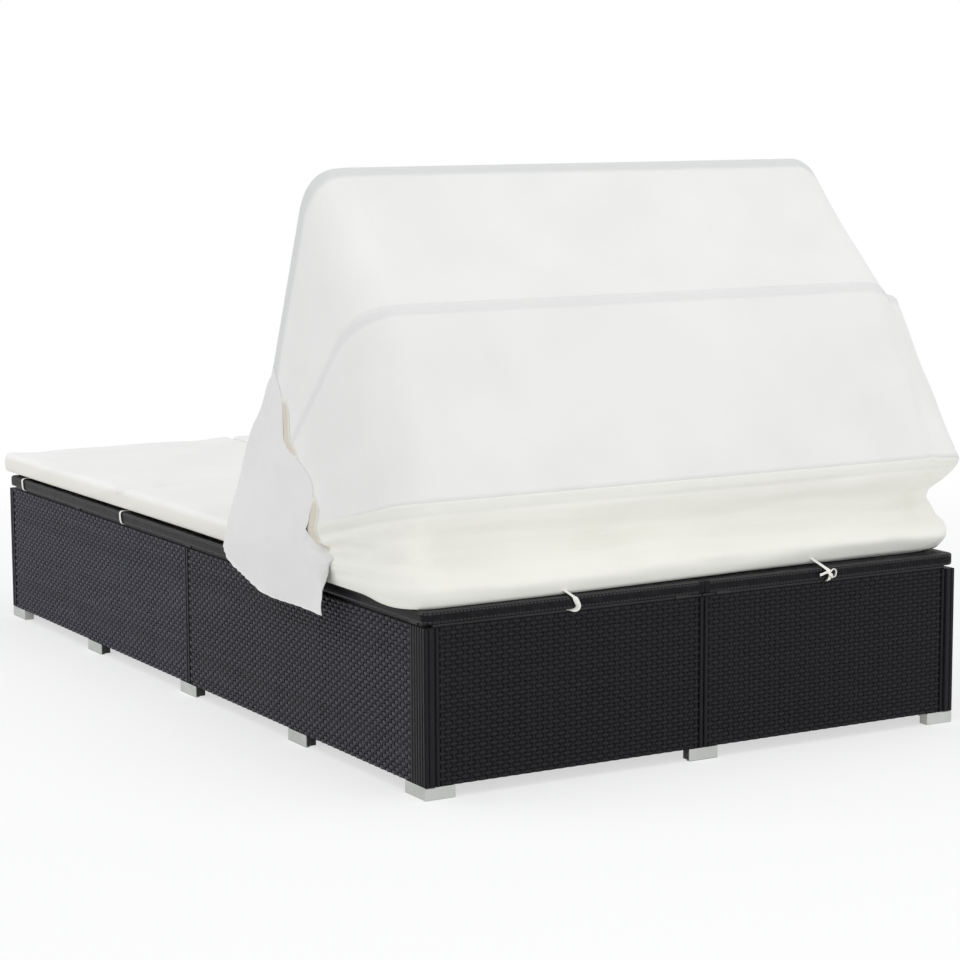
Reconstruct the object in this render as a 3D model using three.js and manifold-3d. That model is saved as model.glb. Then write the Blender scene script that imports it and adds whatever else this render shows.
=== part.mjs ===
// Outdoor daybed with a folding hood, in millimetres, with +Z up and the head end at +Y.
// Woven panels on tube frames carry two slatted lying frames and two mattresses. Three tube bows turn on one
// bolt at each side and carry the hood's cloth; a fourth lies on the rail, inside the cloth's hem.
// The origin is on the floor, under the middle of the whole daybed.
import * as THREE from "three";
import { mergeVertices } from "three/addons/utils/BufferGeometryUtils.js";
import Module from "manifold-3d";

const wasm = await Module();
wasm.setup();

// Driving dimensions: lengths in millimetres, angles in degrees.
const gap = 0.3; // left between pieces that touch
const overrun = 4; // how far a cut runs past the wall that it cuts
const bite = 1; // how far joined shapes run into each other
const weld = 0.001; // points closer than this are one point

const base = { length: 2000, width: 1168, top: 304 };
const foot = { height: 23, wall: 22, chamfer: 1.2 };
const footPlate = { alongCorner: 74, acrossCorner: 60, alongSide: 76, acrossEnd: 63 };
const footShares = [0.25, 0.5, 0.75]; // where the long sides' middle feet stand, along the base
const weave = { thickness: 5, chamfer: 1.2 };
const bar = { height: 20, depth: 15, wall: 1.5, upright: 15, widestBay: 190, boltHole: 7 };
const boltShares = [0.3, 0.7]; // where the bolts through a panel's end bars sit, up its height
const beam = { size: 30, wall: 1.6 };
const rail = { groove: 6, width: 25, endWidth: 50, height: 23, wall: 1.6, corner: 14, edge: 4, drain: 6 };
const slat = { width: 25, height: 12, widestGap: 135 };
const lug = { length: 30, width: 15 };
const lugShares = [0.02, 0.2, 0.5, 0.8, 0.98]; // along each side of a lying frame
const mattress = { overhang: 42, proud: 1.5, thickness: 46, parting: 3, edge: 20, crown: 3, drawn: 5 };
const mattressHead = { setback: 75, sideSetback: 40, taper: 70, room: 6 };
const roundShare = 0.9; // how much of a mattress edge's depth its round takes
const seam = { fromHead: 1357, width: 26, depth: 5 };
const seamShares = [-1, -0.5, 0, 0.5, 1]; // stations across the seam, of its width
const notchShares = [1, 0.75, 0.5, 0.25, 0]; // stations along the head part's taper
const hood = { pivotSetback: 715, pivotRise: 17 };
const tube = { diameter: 16, wall: 1.2, tail: 9 };
const bolt = { diameter: 6, clearance: 0.4, headSides: 6, headWidth: 10, headHeight: 4.2, grip: 3.4 };
const nut = { width: 15, collar: 3, height: 7.5, bore: 4.2 };
const washer = { diameter: 17, thickness: 1.4 };
const bracket = { thickness: 4, width: 44, lowEnd: 3 };
const bows = {
  front: { angle: 68, reach: 775.5, splay: 0.5, corner: 70 },
  middle: { angle: 43.9, reach: 698, splay: 10.5, corner: 75 },
  rear: { angle: 13.4, reach: 682.5, splay: 3.5, corner: 62 },
};
const hemBow = { setback: 46, inset: 4, corner: 62, legStart: 85 };
const cloth = { thickness: 2, start: 75, edgeRoom: 1.8, hemDrop: 6 };
const drape = { sag: 12, belly: 7, waist: 52, hemBulge: 12 };
const waistPlaceShare = 0.45; // how far below the rear bow the hood's lowest tier is drawn in
const waistWidthShare = 0.28;
const lowLegShare = 0.35; // how much of that depth the tier keeps along the legs
const flap = { length: 452, height: 370, clear: 2.6, fold: 6, swell: 28, nearPivot: 50 };
// The flap's upper and lower edges from front to rear, as shares of its length and height from the pivot.
const flapTopShares = [
  [0.254, 0.784], [0.376, 0.676], [0.498, 0.527], [0.608, 0.378], [0.697, 0.243], [0.785, 0.135],
  [0.867, -0.014],
];
const flapBottomShares = [
  [-0.133, -0.03], [0.02, -0.127], [0.217, -0.192], [0.416, -0.211], [0.564, -0.216], [0.697, -0.214],
  [0.812, -0.203],
];
const tape = { width: 9, thickness: 1.8, radius: 4, knot: 11 };
const sideTieShares = [0.045, 0.335]; // along the base, from its foot end
const headTieShare = 0.488; // across half the base, from its middle

// How finely the round forms are divided.
const facets = { tube: 12, bore: 8, bend: 6, round: 12, corner: 4, lathe: 12 };
const clothCounts = { leg: 4, bar: 3, tierRows: 4, lowRows: 9, mattress: 6 };
const flapCounts = { along: 15, down: 6, folds: 3 };

// Levels and faces that the pieces share.
const wall = weave.thickness + gap + bar.depth;
const panelHeight = base.top - foot.height;
const railBottom = base.top + rail.groove;
const railTop = railBottom + rail.height;
const headFace = (base.length + mattress.overhang) / 2;
const footFace = headFace - base.length;
const baseMiddle = (headFace + footFace) / 2;
const sideFace = base.width / 2;
const railInside = sideFace - rail.width;
const pivot = { y: headFace - hood.pivotSetback, z: railTop + hood.pivotRise };
const tubeRadius = tube.diameter / 2;
const bracketFace = railInside - gap;
const legPitch = tube.diameter + washer.thickness + 2 * gap;
const frontLeg = bracketFace + gap + tubeRadius;
const pivotHole = bolt.diameter + 2 * bolt.clearance;

// Each bow's leg stands in a plane of its own at the pivot, from the bracket outwards.
Object.values(bows).forEach((b, place) => {
  b.leg = frontLeg + place * legPitch;
  b.halfWidth = b.leg + b.splay;
  b.origin = new THREE.Vector3(0, pivot.y, pivot.z);
});
const outerLeg = bows.rear.leg + tubeRadius;
const hemOutline = {
  angle: 0,
  reach: headFace - hemBow.setback - pivot.y,
  leg: sideFace - hemBow.inset,
  halfWidth: sideFace - hemBow.inset,
  corner: hemBow.corner,
  origin: new THREE.Vector3(0, pivot.y, railTop + gap + tubeRadius),
};

// The slats divide each lying frame into open bays of even length.
const slatSpan = base.length - 2 * rail.endWidth;
const slatBays = Math.ceil((slatSpan + slat.width) / (slat.widestGap + slat.width));
const slatPitch = (slatSpan + slat.width) / slatBays;
const bayStart = (i) => footFace + rail.endWidth + i * slatPitch;
const bayEnd = (i) => bayStart(i + 1) - slat.width;

const quarter = Math.PI / 2;
const paint = (color, roughness, metalness) =>
  new THREE.MeshStandardMaterial({ color, roughness, metalness });
const looks = {
  weave: paint(0x2b2b33, 0.5, 0),
  frame: paint(0x26262a, 0.45, 0.4),
  foot: paint(0xb4b6b8, 0.5, 0.6),
  mattress: paint(0xf1f0ec, 0.9, 0),
  hood: paint(0xeeeeea, 0.9, 0),
  tape: paint(0xece8dc, 0.9, 0),
  tube: paint(0xc9cacb, 0.4, 0.7),
  hardware: paint(0xaeb0b2, 0.35, 0.9),
};

const daybed = new THREE.Group();

function piece(name, geometry, material) {
  const mesh = new THREE.Mesh(geometry, material);
  mesh.name = name;
  daybed.add(mesh);
  return mesh;
}

// A closed geometry as a solid that can be joined and cut.
function solid(geometry) {
  const bare = geometry.clone();
  bare.deleteAttribute("normal");
  bare.deleteAttribute("uv");
  const merged = mergeVertices(bare, weld);
  const vertProperties = new Float32Array(merged.attributes.position.array);
  const triVerts = new Uint32Array(merged.index.array);
  return new wasm.Manifold(new wasm.Mesh({ numProp: 3, vertProperties, triVerts }));
}

function geometryOf(body) {
  const mesh = body.getMesh();
  const geometry = new THREE.BufferGeometry();
  geometry.setAttribute("position", new THREE.BufferAttribute(mesh.vertProperties, 3));
  geometry.setIndex(new THREE.BufferAttribute(mesh.triVerts, 1));
  geometry.computeVertexNormals();
  return geometry;
}

const cut = (body, tools) => tools.reduce((left, tool) => left.subtract(solid(tool)), body);
const join = (body, parts) => parts.reduce((whole, part) => whole.add(solid(part)), body);

// A box between two values on each axis.
function between(x, y, z) {
  const box = new THREE.BoxGeometry(x[1] - x[0], y[1] - y[0], z[1] - z[0]);
  return box.translate((x[0] + x[1]) / 2, (y[0] + y[1]) / 2, (z[0] + z[1]) / 2);
}

function rectangle(Kind, x, y, radius = 0) {
  const outline = new Kind();
  if (radius === 0) {
    outline.moveTo(x[0], y[0]).lineTo(x[1], y[0]).lineTo(x[1], y[1]).lineTo(x[0], y[1]).closePath();
    return outline;
  }
  outline.moveTo(x[0] + radius, y[0]);
  outline.lineTo(x[1] - radius, y[0]).absarc(x[1] - radius, y[0] + radius, radius, -quarter, 0);
  outline.lineTo(x[1], y[1] - radius).absarc(x[1] - radius, y[1] - radius, radius, 0, quarter);
  outline.lineTo(x[0] + radius, y[1]).absarc(x[0] + radius, y[1] - radius, radius, quarter, 2 * quarter);
  outline.lineTo(x[0], y[0] + radius).absarc(x[0] + radius, y[0] + radius, radius, 2 * quarter, 3 * quarter);
  return outline;
}

// An outline drawn out along Z, from 0 to its depth, with its edges bevelled within that outline.
function drawn(outline, depth, edge = 0, edgeSteps = 1) {
  return new THREE.ExtrudeGeometry(outline, {
    depth: depth - 2 * edge,
    curveSegments: facets.corner,
    bevelEnabled: edge > 0,
    bevelThickness: edge,
    bevelSize: edge,
    bevelOffset: -edge,
    bevelSegments: edgeSteps,
  }).translate(0, 0, edge);
}

// A round pin or drill along X, centred on the origin.
const pinAlongX = (diameter, length, sides = facets.round) =>
  new THREE.CylinderGeometry(diameter / 2, diameter / 2, length, sides).rotateZ(quarter);

// Stands a panel drawn in XY upright: its length runs along Y or X, its depth towards +X or -Y.
const alongY = (geometry) => geometry.rotateX(quarter).rotateZ(quarter);
const alongX = (geometry) => geometry.rotateX(quarter);

// The tube frame of one base panel, drawn in XY: a hollow rim, open at its bolt holes, and uprights.
function panelFrame(length) {
  const clear = length - 2 * bar.height;
  const bays = Math.ceil((clear + bar.upright) / (bar.widestBay + bar.upright));
  const pitch = (clear + bar.upright) / bays;
  const through = [-overrun, bar.depth + overrun];
  const openings = [];
  for (let i = 0; i < bays; i++) {
    const start = bar.height + i * pitch;
    const bay = [start, start + pitch - bar.upright];
    openings.push(between(bay, [bar.height, panelHeight - bar.height], through));
  }
  const box = (inset, depth) => between([inset, length - inset], [inset, panelHeight - inset], depth);
  const bore = [bar.wall, bar.depth - bar.wall];
  const hollow = cut(solid(box(bar.wall, bore)), [box(bar.height - bar.wall, through)]);
  const frame = cut(solid(box(0, [0, bar.depth])), openings).subtract(hollow);
  const drillLength = bar.height + 2 * overrun;
  const drills = boltShares.flatMap((share) =>
    [bar.height / 2, length - bar.height / 2].map((x) =>
      pinAlongX(bar.boltHole, drillLength, facets.bore).translate(x, share * panelHeight, bar.depth / 2),
    ),
  );
  return geometryOf(cut(frame, drills));
}

// The woven skin of one base panel, drawn in XY.
function panelWeave(length) {
  const outline = rectangle(THREE.Shape, [0, length], [0, panelHeight]);
  return drawn(outline, weave.thickness, weave.chamfer);
}

// A mirrored copy faces the other way, so its triangles are turned round.
function mirrored(geometry, x, y) {
  const copy = geometry.clone().scale(x, y, 1);
  if (x * y > 0) return copy;
  const flipped = triangleIndex(copy);
  for (let i = 0; i < flipped.length; i += 3) flipped.subarray(i, i + 3).reverse();
  copy.setIndex(new THREE.BufferAttribute(flipped, 1));
  copy.computeVertexNormals();
  return copy;
}

function triangleIndex(geometry) {
  if (geometry.index) return new Uint32Array(geometry.index.array);
  return Uint32Array.from({ length: geometry.attributes.position.count }, (_, i) => i);
}

// Base panels: each long side has a foot half and a head half, and each end a left half and a right half
// that fit between the long sides.
const halves = { foot: footFace, head: baseMiddle };
const sides = { left: -1, right: 1 };
const sideLength = base.length / 2 - gap;
const endLength = sideFace - wall - gap - gap / 2;
for (const [side, sign] of Object.entries(sides)) {
  for (const [half, start] of Object.entries(halves)) {
    const place = [0, start + gap / 2, foot.height];
    const skin = alongY(panelWeave(sideLength)).translate(sideFace - weave.thickness, 0, 0);
    const frame = alongY(panelFrame(sideLength)).translate(sideFace - wall, 0, 0);
    piece(`weave_side_${side}_${half}`, mirrored(skin, sign, 1), looks.weave).position.set(...place);
    piece(`frame_side_${side}_${half}`, mirrored(frame, sign, 1), looks.frame).position.set(...place);
  }
  for (const [end, face] of Object.entries({ foot: footFace, head: headFace })) {
    const outward = Math.sign(face - baseMiddle);
    const place = [(sign * gap) / 2, face, foot.height];
    const skin = alongX(panelWeave(endLength));
    const frame = alongX(panelFrame(endLength)).translate(0, -weave.thickness - gap, 0);
    piece(`weave_end_${side}_${end}`, mirrored(skin, sign, outward), looks.weave).position.set(...place);
    piece(`frame_end_${side}_${end}`, mirrored(frame, sign, outward), looks.frame).position.set(...place);
  }
}

// A length of square tube along Y, centred on the origin.
function squareTube(length) {
  const half = beam.size / 2;
  const inside = half - beam.wall;
  const outline = rectangle(THREE.Shape, [-half, half], [-half, half]);
  outline.holes.push(rectangle(THREE.Path, [-inside, inside], [-inside, inside]));
  return drawn(outline, length).translate(0, 0, -length / 2).rotateX(quarter);
}

// Beams inside the base, which carry the lying frames' inner rails.
const beamHeight = railBottom - gap - beam.size / 2;
const crossLength = 2 * (sideFace - wall - gap);
const cross = piece("beam_across", squareTube(crossLength), looks.frame);
cross.position.set(0, baseMiddle, beamHeight);
cross.rotation.z = quarter;
const halfClear = base.length / 2 - wall - beam.size / 2 - 2 * gap;
for (const [half, sign] of Object.entries({ foot: -1, head: 1 })) {
  const along = piece(`beam_along_${half}`, squareTube(halfClear), looks.frame);
  along.position.set(0, baseMiddle + sign * (beam.size / 2 + gap + halfClear / 2), beamHeight);
}

// Feet: plates folded round the corners, and straight ones under the panel joints.
function footSolid(outline) {
  return drawn(outline, foot.height - gap, foot.chamfer);
}

const cornerOutline = new THREE.Shape()
  .moveTo(0, 0)
  .lineTo(-footPlate.acrossCorner, 0)
  .lineTo(-footPlate.acrossCorner, -foot.wall)
  .lineTo(-foot.wall, -foot.wall)
  .lineTo(-foot.wall, -footPlate.alongCorner)
  .lineTo(0, -footPlate.alongCorner)
  .closePath();
for (const [side, sign] of Object.entries(sides)) {
  for (const [end, face] of Object.entries({ foot: footFace, head: headFace })) {
    const shape = mirrored(footSolid(cornerOutline), sign, Math.sign(face - baseMiddle));
    piece(`foot_corner_${side}_${end}`, shape, looks.foot).position.set(sign * sideFace, face, 0);
  }
  footShares.forEach((share, i) => {
    const reach = footPlate.alongSide / 2;
    const outline = rectangle(THREE.Shape, [-foot.wall, 0], [-reach, reach]);
    const shape = mirrored(footSolid(outline), sign, 1);
    const y = footFace + share * base.length;
    piece(`foot_side_${side}_${i + 1}`, shape, looks.foot).position.set(sign * sideFace, y, 0);
  });
}
for (const [end, face] of Object.entries({ foot: footFace, head: headFace })) {
  const reach = footPlate.acrossEnd / 2;
  const outline = rectangle(THREE.Shape, [-reach, reach], [-foot.wall, 0]);
  const shape = mirrored(footSolid(outline), 1, Math.sign(face - baseMiddle));
  piece(`foot_end_${end}`, shape, looks.foot).position.set(0, face, 0);
}

// A lying frame: a hollow rail with rounded corners, slats across it and lugs that stand on the panels.
// It is drawn for the right half, with its inner side on the middle line.
function lyingFrame() {
  const x = [gap, sideFace];
  const y = [footFace, headFace];
  const inset = (across, along) => [
    [x[0] + across, x[1] - across],
    [y[0] + along, y[1] - along],
  ];
  const outline = rectangle(THREE.Shape, x, y, rail.corner);
  outline.holes.push(rectangle(THREE.Path, ...inset(rail.width, rail.endWidth)));
  const loop = drawn(outline, rail.height, rail.edge, 2).translate(0, 0, railBottom);
  const skin = rail.edge + rail.wall;
  const core = rectangle(THREE.Shape, ...inset(skin, skin));
  core.holes.push(rectangle(THREE.Path, ...inset(rail.width - skin, rail.endWidth - skin)));
  const hollow = drawn(core, rail.height - 2 * rail.wall).translate(0, 0, railBottom + rail.wall);
  const drain = new THREE.CylinderGeometry(rail.drain / 2, rail.drain / 2, rail.height, facets.tube)
    .rotateX(quarter)
    .translate(sideFace - rail.width / 2, baseMiddle + lug.length, railBottom);
  const slatReach = [x[0] + rail.width - bite, x[1] - rail.width + bite];
  const slatLevel = [railTop - rail.edge - slat.height, railTop - rail.edge];
  const slats = [];
  for (let i = 1; i < slatBays; i++) slats.push(between(slatReach, [bayEnd(i - 1), bayStart(i)], slatLevel));
  const lugSpan = [base.top + gap, railBottom + bite];
  const across = [sideFace - wall, sideFace - wall + lug.width];
  const lugs = lugShares.map((share) => {
    const middle = y[0] + wall / 2 + share * (base.length - wall);
    return between(across, [middle - lug.length / 2, middle + lug.length / 2], lugSpan);
  });
  for (const face of [footFace, headFace]) {
    const sign = Math.sign(face - baseMiddle);
    const depth = [face - sign * wall, face - sign * (wall - lug.width)].sort((a, b) => a - b);
    lugs.push(between([lug.length, 2 * lug.length], depth, lugSpan));
  }
  return geometryOf(cut(join(solid(loop), [...slats, ...lugs]), [hollow, drain]));
}

const lying = lyingFrame();
for (const [side, sign] of Object.entries(sides)) {
  piece(`lying_frame_${side}`, mirrored(lying, sign, 1), looks.frame);
}

// A closed surface through rings of points, with a cap at each end. Seen from the first ring towards the
// last, each ring runs counter-clockwise.
function loft(rings) {
  const count = rings[0].length;
  const index = [];
  for (let r = 0; r + 1 < rings.length; r++) {
    for (let i = 0; i < count; i++) {
      const a = r * count + i;
      const b = r * count + ((i + 1) % count);
      index.push(a, b + count, b, a, a + count, b + count);
    }
  }
  const last = (rings.length - 1) * count;
  for (let i = 1; i + 1 < count; i++) {
    index.push(0, i, i + 1);
    index.push(last, last + i + 1, last + i);
  }
  const geometry = new THREE.BufferGeometry().setFromPoints(rings.flat());
  geometry.setIndex(index);
  geometry.computeVertexNormals();
  return geometry;
}

// One mattress: crowned, with round edges, sides drawn in between its corners, a sewn seam across it and a
// narrower head part that clears the bows. Its section at each station is a box with round corners.
const mattressFoot = footFace - mattress.overhang;
const mattressEnd = headFace - mattressHead.setback;
const mattressOuter = sideFace + mattress.proud;
const mattressBottom = railTop + gap;
const notchY = pivot.y - bracket.width / 2 - mattressHead.room;
const seamY = headFace - seam.fromHead;

function mattressSection(y, shrink) {
  const along = (y - mattressFoot) / (mattressEnd - mattressFoot);
  const notched = THREE.MathUtils.smoothstep(y, notchY - mattressHead.taper, notchY);
  const narrowing = notched * mattressHead.sideSetback;
  const drawnIn = mattress.drawn * Math.sin(Math.PI * along) ** 2;
  const sunk = seam.depth * Math.exp(-(((y - seamY) / (seam.width / 2)) ** 2));
  const x = [mattress.parting / 2 + shrink, mattressOuter - narrowing - drawnIn - shrink];
  const z = [mattressBottom + shrink, mattressBottom + mattress.thickness - sunk - shrink];
  const radius = roundShare * Math.min(mattress.edge, (z[1] - z[0]) / 2);
  const corners = [
    [x[1] - radius, z[0] + radius],
    [x[1] - radius, z[1] - radius],
    [x[0] + radius, z[1] - radius],
    [x[0] + radius, z[0] + radius],
  ];
  const ring = [];
  corners.forEach(([cornerX, cornerZ], i) => {
    for (let k = 0; k < facets.corner; k++) {
      const angle = quarter * (i - 1 + k / (facets.corner - 1));
      ring.push(new THREE.Vector3(cornerX + radius * Math.cos(angle), y, cornerZ + radius * Math.sin(angle)));
    }
    const crown = mattress.crown * (1 - shrink / mattress.edge);
    if (i === 1) ring.push(new THREE.Vector3((x[0] + x[1]) / 2, y, z[1] + crown));
  });
  return ring;
}

function mattressSolid() {
  const roundEnd = (face, inward) =>
    Array.from({ length: facets.corner }, (_, k) => {
      const angle = (quarter * k) / facets.corner;
      const y = face + inward * mattress.edge * (1 - Math.cos(angle));
      return mattressSection(y, mattress.edge * (1 - Math.sin(angle)));
    });
  const low = mattressFoot + mattress.edge;
  const high = mattressEnd - mattress.edge;
  const spans = clothCounts.mattress;
  const even = Array.from({ length: spans + 1 }, (_, i) => low + ((high - low) * i) / spans);
  const bySeam = seamShares.map((share) => seamY + share * seam.width);
  const byNotch = notchShares.map((share) => notchY - share * mattressHead.taper);
  const places = [...even, ...bySeam, ...byNotch].sort((a, b) => a - b);
  const apart = places.filter((y, i) => i === 0 || y - places[i - 1] > bite);
  const rings = apart.map((y) => mattressSection(y, 0));
  return loft([...roundEnd(mattressFoot, 1), ...rings, ...roundEnd(mattressEnd, -1).reverse()]);
}

const pad = mattressSolid();
for (const [side, sign] of Object.entries(sides)) {
  piece(`mattress_${side}`, mirrored(pad, sign, 1), looks.mattress);
}

// A path through given points, so that the steps of a sweep lie where its bends need them.
class PointPath extends THREE.Curve {
  constructor(points) {
    super();
    this.points = points;
  }

  getPoint(share, target = new THREE.Vector3()) {
    const place = share * (this.points.length - 1);
    const i = Math.min(Math.floor(place), this.points.length - 2);
    return target.lerpVectors(this.points[i], this.points[i + 1], place - i);
  }

  getPointAt(share, target) {
    return this.getPoint(share, target);
  }

  getTangentAt(share, target = new THREE.Vector3()) {
    const last = this.points.length - 1;
    const i = Math.round(share * last);
    const heading = (a, b) => this.points[b].clone().sub(this.points[a]).normalize();
    target.set(0, 0, 0);
    if (i > 0) target.add(heading(i - 1, i));
    if (i < last) target.add(heading(i, i + 1));
    return target.normalize();
  }
}

// Places along a bow's hoop, from its right leg over the bar to its left leg: the middle of the tube in the
// hoop's own plane, as distances across and out from the pivot line, and the way out of the hoop there.
function hoop(outline, start, legSteps, barSteps) {
  const legTop = outline.reach - outline.corner;
  const right = [];
  for (let i = 0; i < legSteps; i++) {
    const out = start + ((legTop - start) * i) / legSteps;
    const across = THREE.MathUtils.lerp(outline.leg, outline.halfWidth, out / legTop);
    right.push({ across, out, way: [1, 0] });
  }
  for (let i = 0; i <= facets.bend; i++) {
    const turn = (quarter * i) / facets.bend;
    const across = outline.halfWidth - outline.corner * (1 - Math.cos(turn));
    const out = legTop + outline.corner * Math.sin(turn);
    right.push({ across, out, way: [Math.cos(turn), Math.sin(turn)] });
  }
  const barHalf = outline.halfWidth - outline.corner;
  for (let i = 1; i < barSteps; i++) {
    right.push({ across: barHalf * (1 - i / barSteps), out: outline.reach, way: [0, 1] });
  }
  const left = right.map(({ across, out, way }) => ({ across: -across, out, way: [-way[0], way[1]] }));
  return [...right, { across: 0, out: outline.reach, way: [0, 1] }, ...left.reverse()];
}

// The corners of a polygon on a circle.
function circle(radius, sides) {
  const turn = (4 * quarter) / sides;
  const corner = (_, i) => new THREE.Vector2(radius * Math.cos(i * turn), radius * Math.sin(i * turn));
  return Array.from({ length: sides }, corner);
}

// A bow: a round tube bent to its hoop, drawn flat and turned about the pivot line to its angle.
function bowTube(outline, start) {
  const flat = ({ across, out }) => new THREE.Vector3(across, out, 0);
  const path = new PointPath(hoop(outline, start, 1, 1).map(flat));
  const section = new THREE.Shape(circle(tubeRadius, facets.tube));
  section.holes.push(new THREE.Path(circle(tubeRadius - tube.wall, facets.bore)));
  const steps = path.points.length - 1;
  return new THREE.ExtrudeGeometry(section, { steps, bevelEnabled: false, extrudePath: path });
}

for (const [name, outline] of Object.entries(bows)) {
  const drill = pinAlongX(pivotHole, 2 * (outerLeg + overrun), facets.bore);
  const shape = geometryOf(cut(solid(bowTube(outline, -tube.tail)), [drill]));
  const bow = piece(`bow_${name}`, shape, looks.tube);
  bow.position.copy(outline.origin);
  bow.rotation.x = THREE.MathUtils.degToRad(outline.angle);
}
piece("bow_hem", bowTube(hemOutline, hemBow.legStart), looks.tube).position.copy(hemOutline.origin);

// The bracket inside each side rail, on which the three bows turn.
function bracketPlate() {
  const half = bracket.width / 2;
  const low = railBottom + bracket.lowEnd;
  const outline = new THREE.Shape().moveTo(-half, low).lineTo(half, low).lineTo(half, pivot.z);
  outline.absarc(0, pivot.z, half, 0, 2 * quarter).lineTo(-half, low);
  outline.holes.push(new THREE.Path().absarc(0, pivot.z, pivotHole / 2, 0, 4 * quarter));
  return alongY(drawn(outline, bracket.thickness)).translate(bracketFace - bracket.thickness, pivot.y, 0);
}

// The bolt: a six-sided head inside the bracket and a shank that passes the three legs into the nut.
const headSide = bracketFace - bracket.thickness - gap;
const nutSide = outerLeg + gap;

function pivotBolt() {
  const length = nutSide + bolt.grip - headSide;
  const head = pinAlongX(bolt.headWidth, bolt.headHeight, bolt.headSides);
  const shank = pinAlongX(bolt.diameter, length + bite).translate(headSide + (length - bite) / 2, 0, 0);
  return geometryOf(join(solid(head.translate(headSide - bolt.headHeight / 2, 0, 0)), [shank]));
}

// A domed nut, turned about X, with a blind bore for the bolt's end.
function domeNut() {
  const bore = bolt.diameter / 2 + bolt.clearance;
  const radius = nut.width / 2;
  const inside = [[0, nut.bore], [bore, nut.bore], [bore, 0], [radius, 0]];
  const profile = inside.map(([out, up]) => new THREE.Vector2(out, up));
  for (let i = 0; i <= facets.corner; i++) {
    const turn = (quarter * i) / facets.corner;
    const up = nut.collar + (nut.height - nut.collar) * Math.sin(turn);
    profile.push(new THREE.Vector2(i === facets.corner ? 0 : radius * Math.cos(turn), up));
  }
  return new THREE.LatheGeometry(profile, facets.lathe).rotateZ(-quarter).translate(nutSide, 0, 0);
}

function washerRing() {
  const [inner, outer] = [pivotHole / 2, washer.diameter / 2];
  const half = washer.thickness / 2;
  const corners = [[inner, -half], [outer, -half], [outer, half], [inner, half], [inner, -half]];
  const profile = corners.map(([radius, height]) => new THREE.Vector2(radius, height));
  return new THREE.LatheGeometry(profile, facets.lathe).rotateZ(quarter);
}

for (const [side, sign] of Object.entries(sides)) {
  piece(`hood_bracket_${side}`, mirrored(bracketPlate(), sign, 1), looks.frame);
  for (const [name, shape] of Object.entries({ pivot_bolt: pivotBolt(), dome_nut: domeNut() })) {
    const turned = piece(`${name}_${side}`, mirrored(shape, sign, 1), looks.hardware);
    turned.position.set(0, pivot.y, pivot.z);
  }
  for (const [place, inner] of Object.entries({ inner: bows.front, outer: bows.middle })) {
    const ring = piece(`washer_${place}_${side}`, washerRing(), looks.hardware);
    ring.position.set(sign * (inner.leg + tubeRadius + gap + washer.thickness / 2), pivot.y, pivot.z);
  }
}

// A sheet of even thickness through rows of points, closed all round.
function sheet(rows, thickness) {
  const last = { row: rows.length - 1, column: rows[0].length - 1 };
  const at = (r, c) => rows[Math.min(Math.max(r, 0), last.row)][Math.min(Math.max(c, 0), last.column)];
  const faces = [thickness / 2, -thickness / 2].map((lift) =>
    rows.map((row, r) =>
      row.map((point, c) => {
        const along = at(r, c + 1).clone().sub(at(r, c - 1));
        const down = at(r + 1, c).clone().sub(at(r - 1, c));
        return point.clone().addScaledVector(down.cross(along).normalize(), lift);
      }),
    ),
  );
  const columns = last.column + 1;
  const side = rows.length * columns;
  const index = [];
  const quad = (a, b, c, d) => index.push(a, b, c, a, c, d);
  for (let r = 0; r < last.row; r++) {
    for (let c = 0; c < last.column; c++) {
      const a = r * columns + c;
      quad(a, a + columns, a + columns + 1, a + 1);
      quad(side + a, side + a + 1, side + a + columns + 1, side + a + columns);
    }
    const [start, end] = [r * columns, r * columns + last.column];
    quad(start, side + start, side + start + columns, start + columns);
    quad(end, end + columns, side + end + columns, side + end);
  }
  for (let c = 0; c < last.column; c++) {
    const bottom = last.row * columns + c;
    quad(c, c + 1, side + c + 1, side + c);
    quad(bottom, side + bottom, side + bottom + 1, bottom + 1);
  }
  const geometry = new THREE.BufferGeometry().setFromPoints(faces.flat(2));
  geometry.setIndex(index);
  geometry.computeVertexNormals();
  return geometry;
}

// A hoop's places in the daybed's own frame.
function placesOf(outline, start) {
  const angle = THREE.MathUtils.degToRad(outline.angle);
  const turned = (across, out) => new THREE.Vector3(across, out * Math.cos(angle), out * Math.sin(angle));
  return hoop(outline, start, clothCounts.leg, clothCounts.bar).map(({ across, out, way }) => ({
    middle: turned(across, out).add(outline.origin),
    outward: turned(...way),
  }));
}

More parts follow.
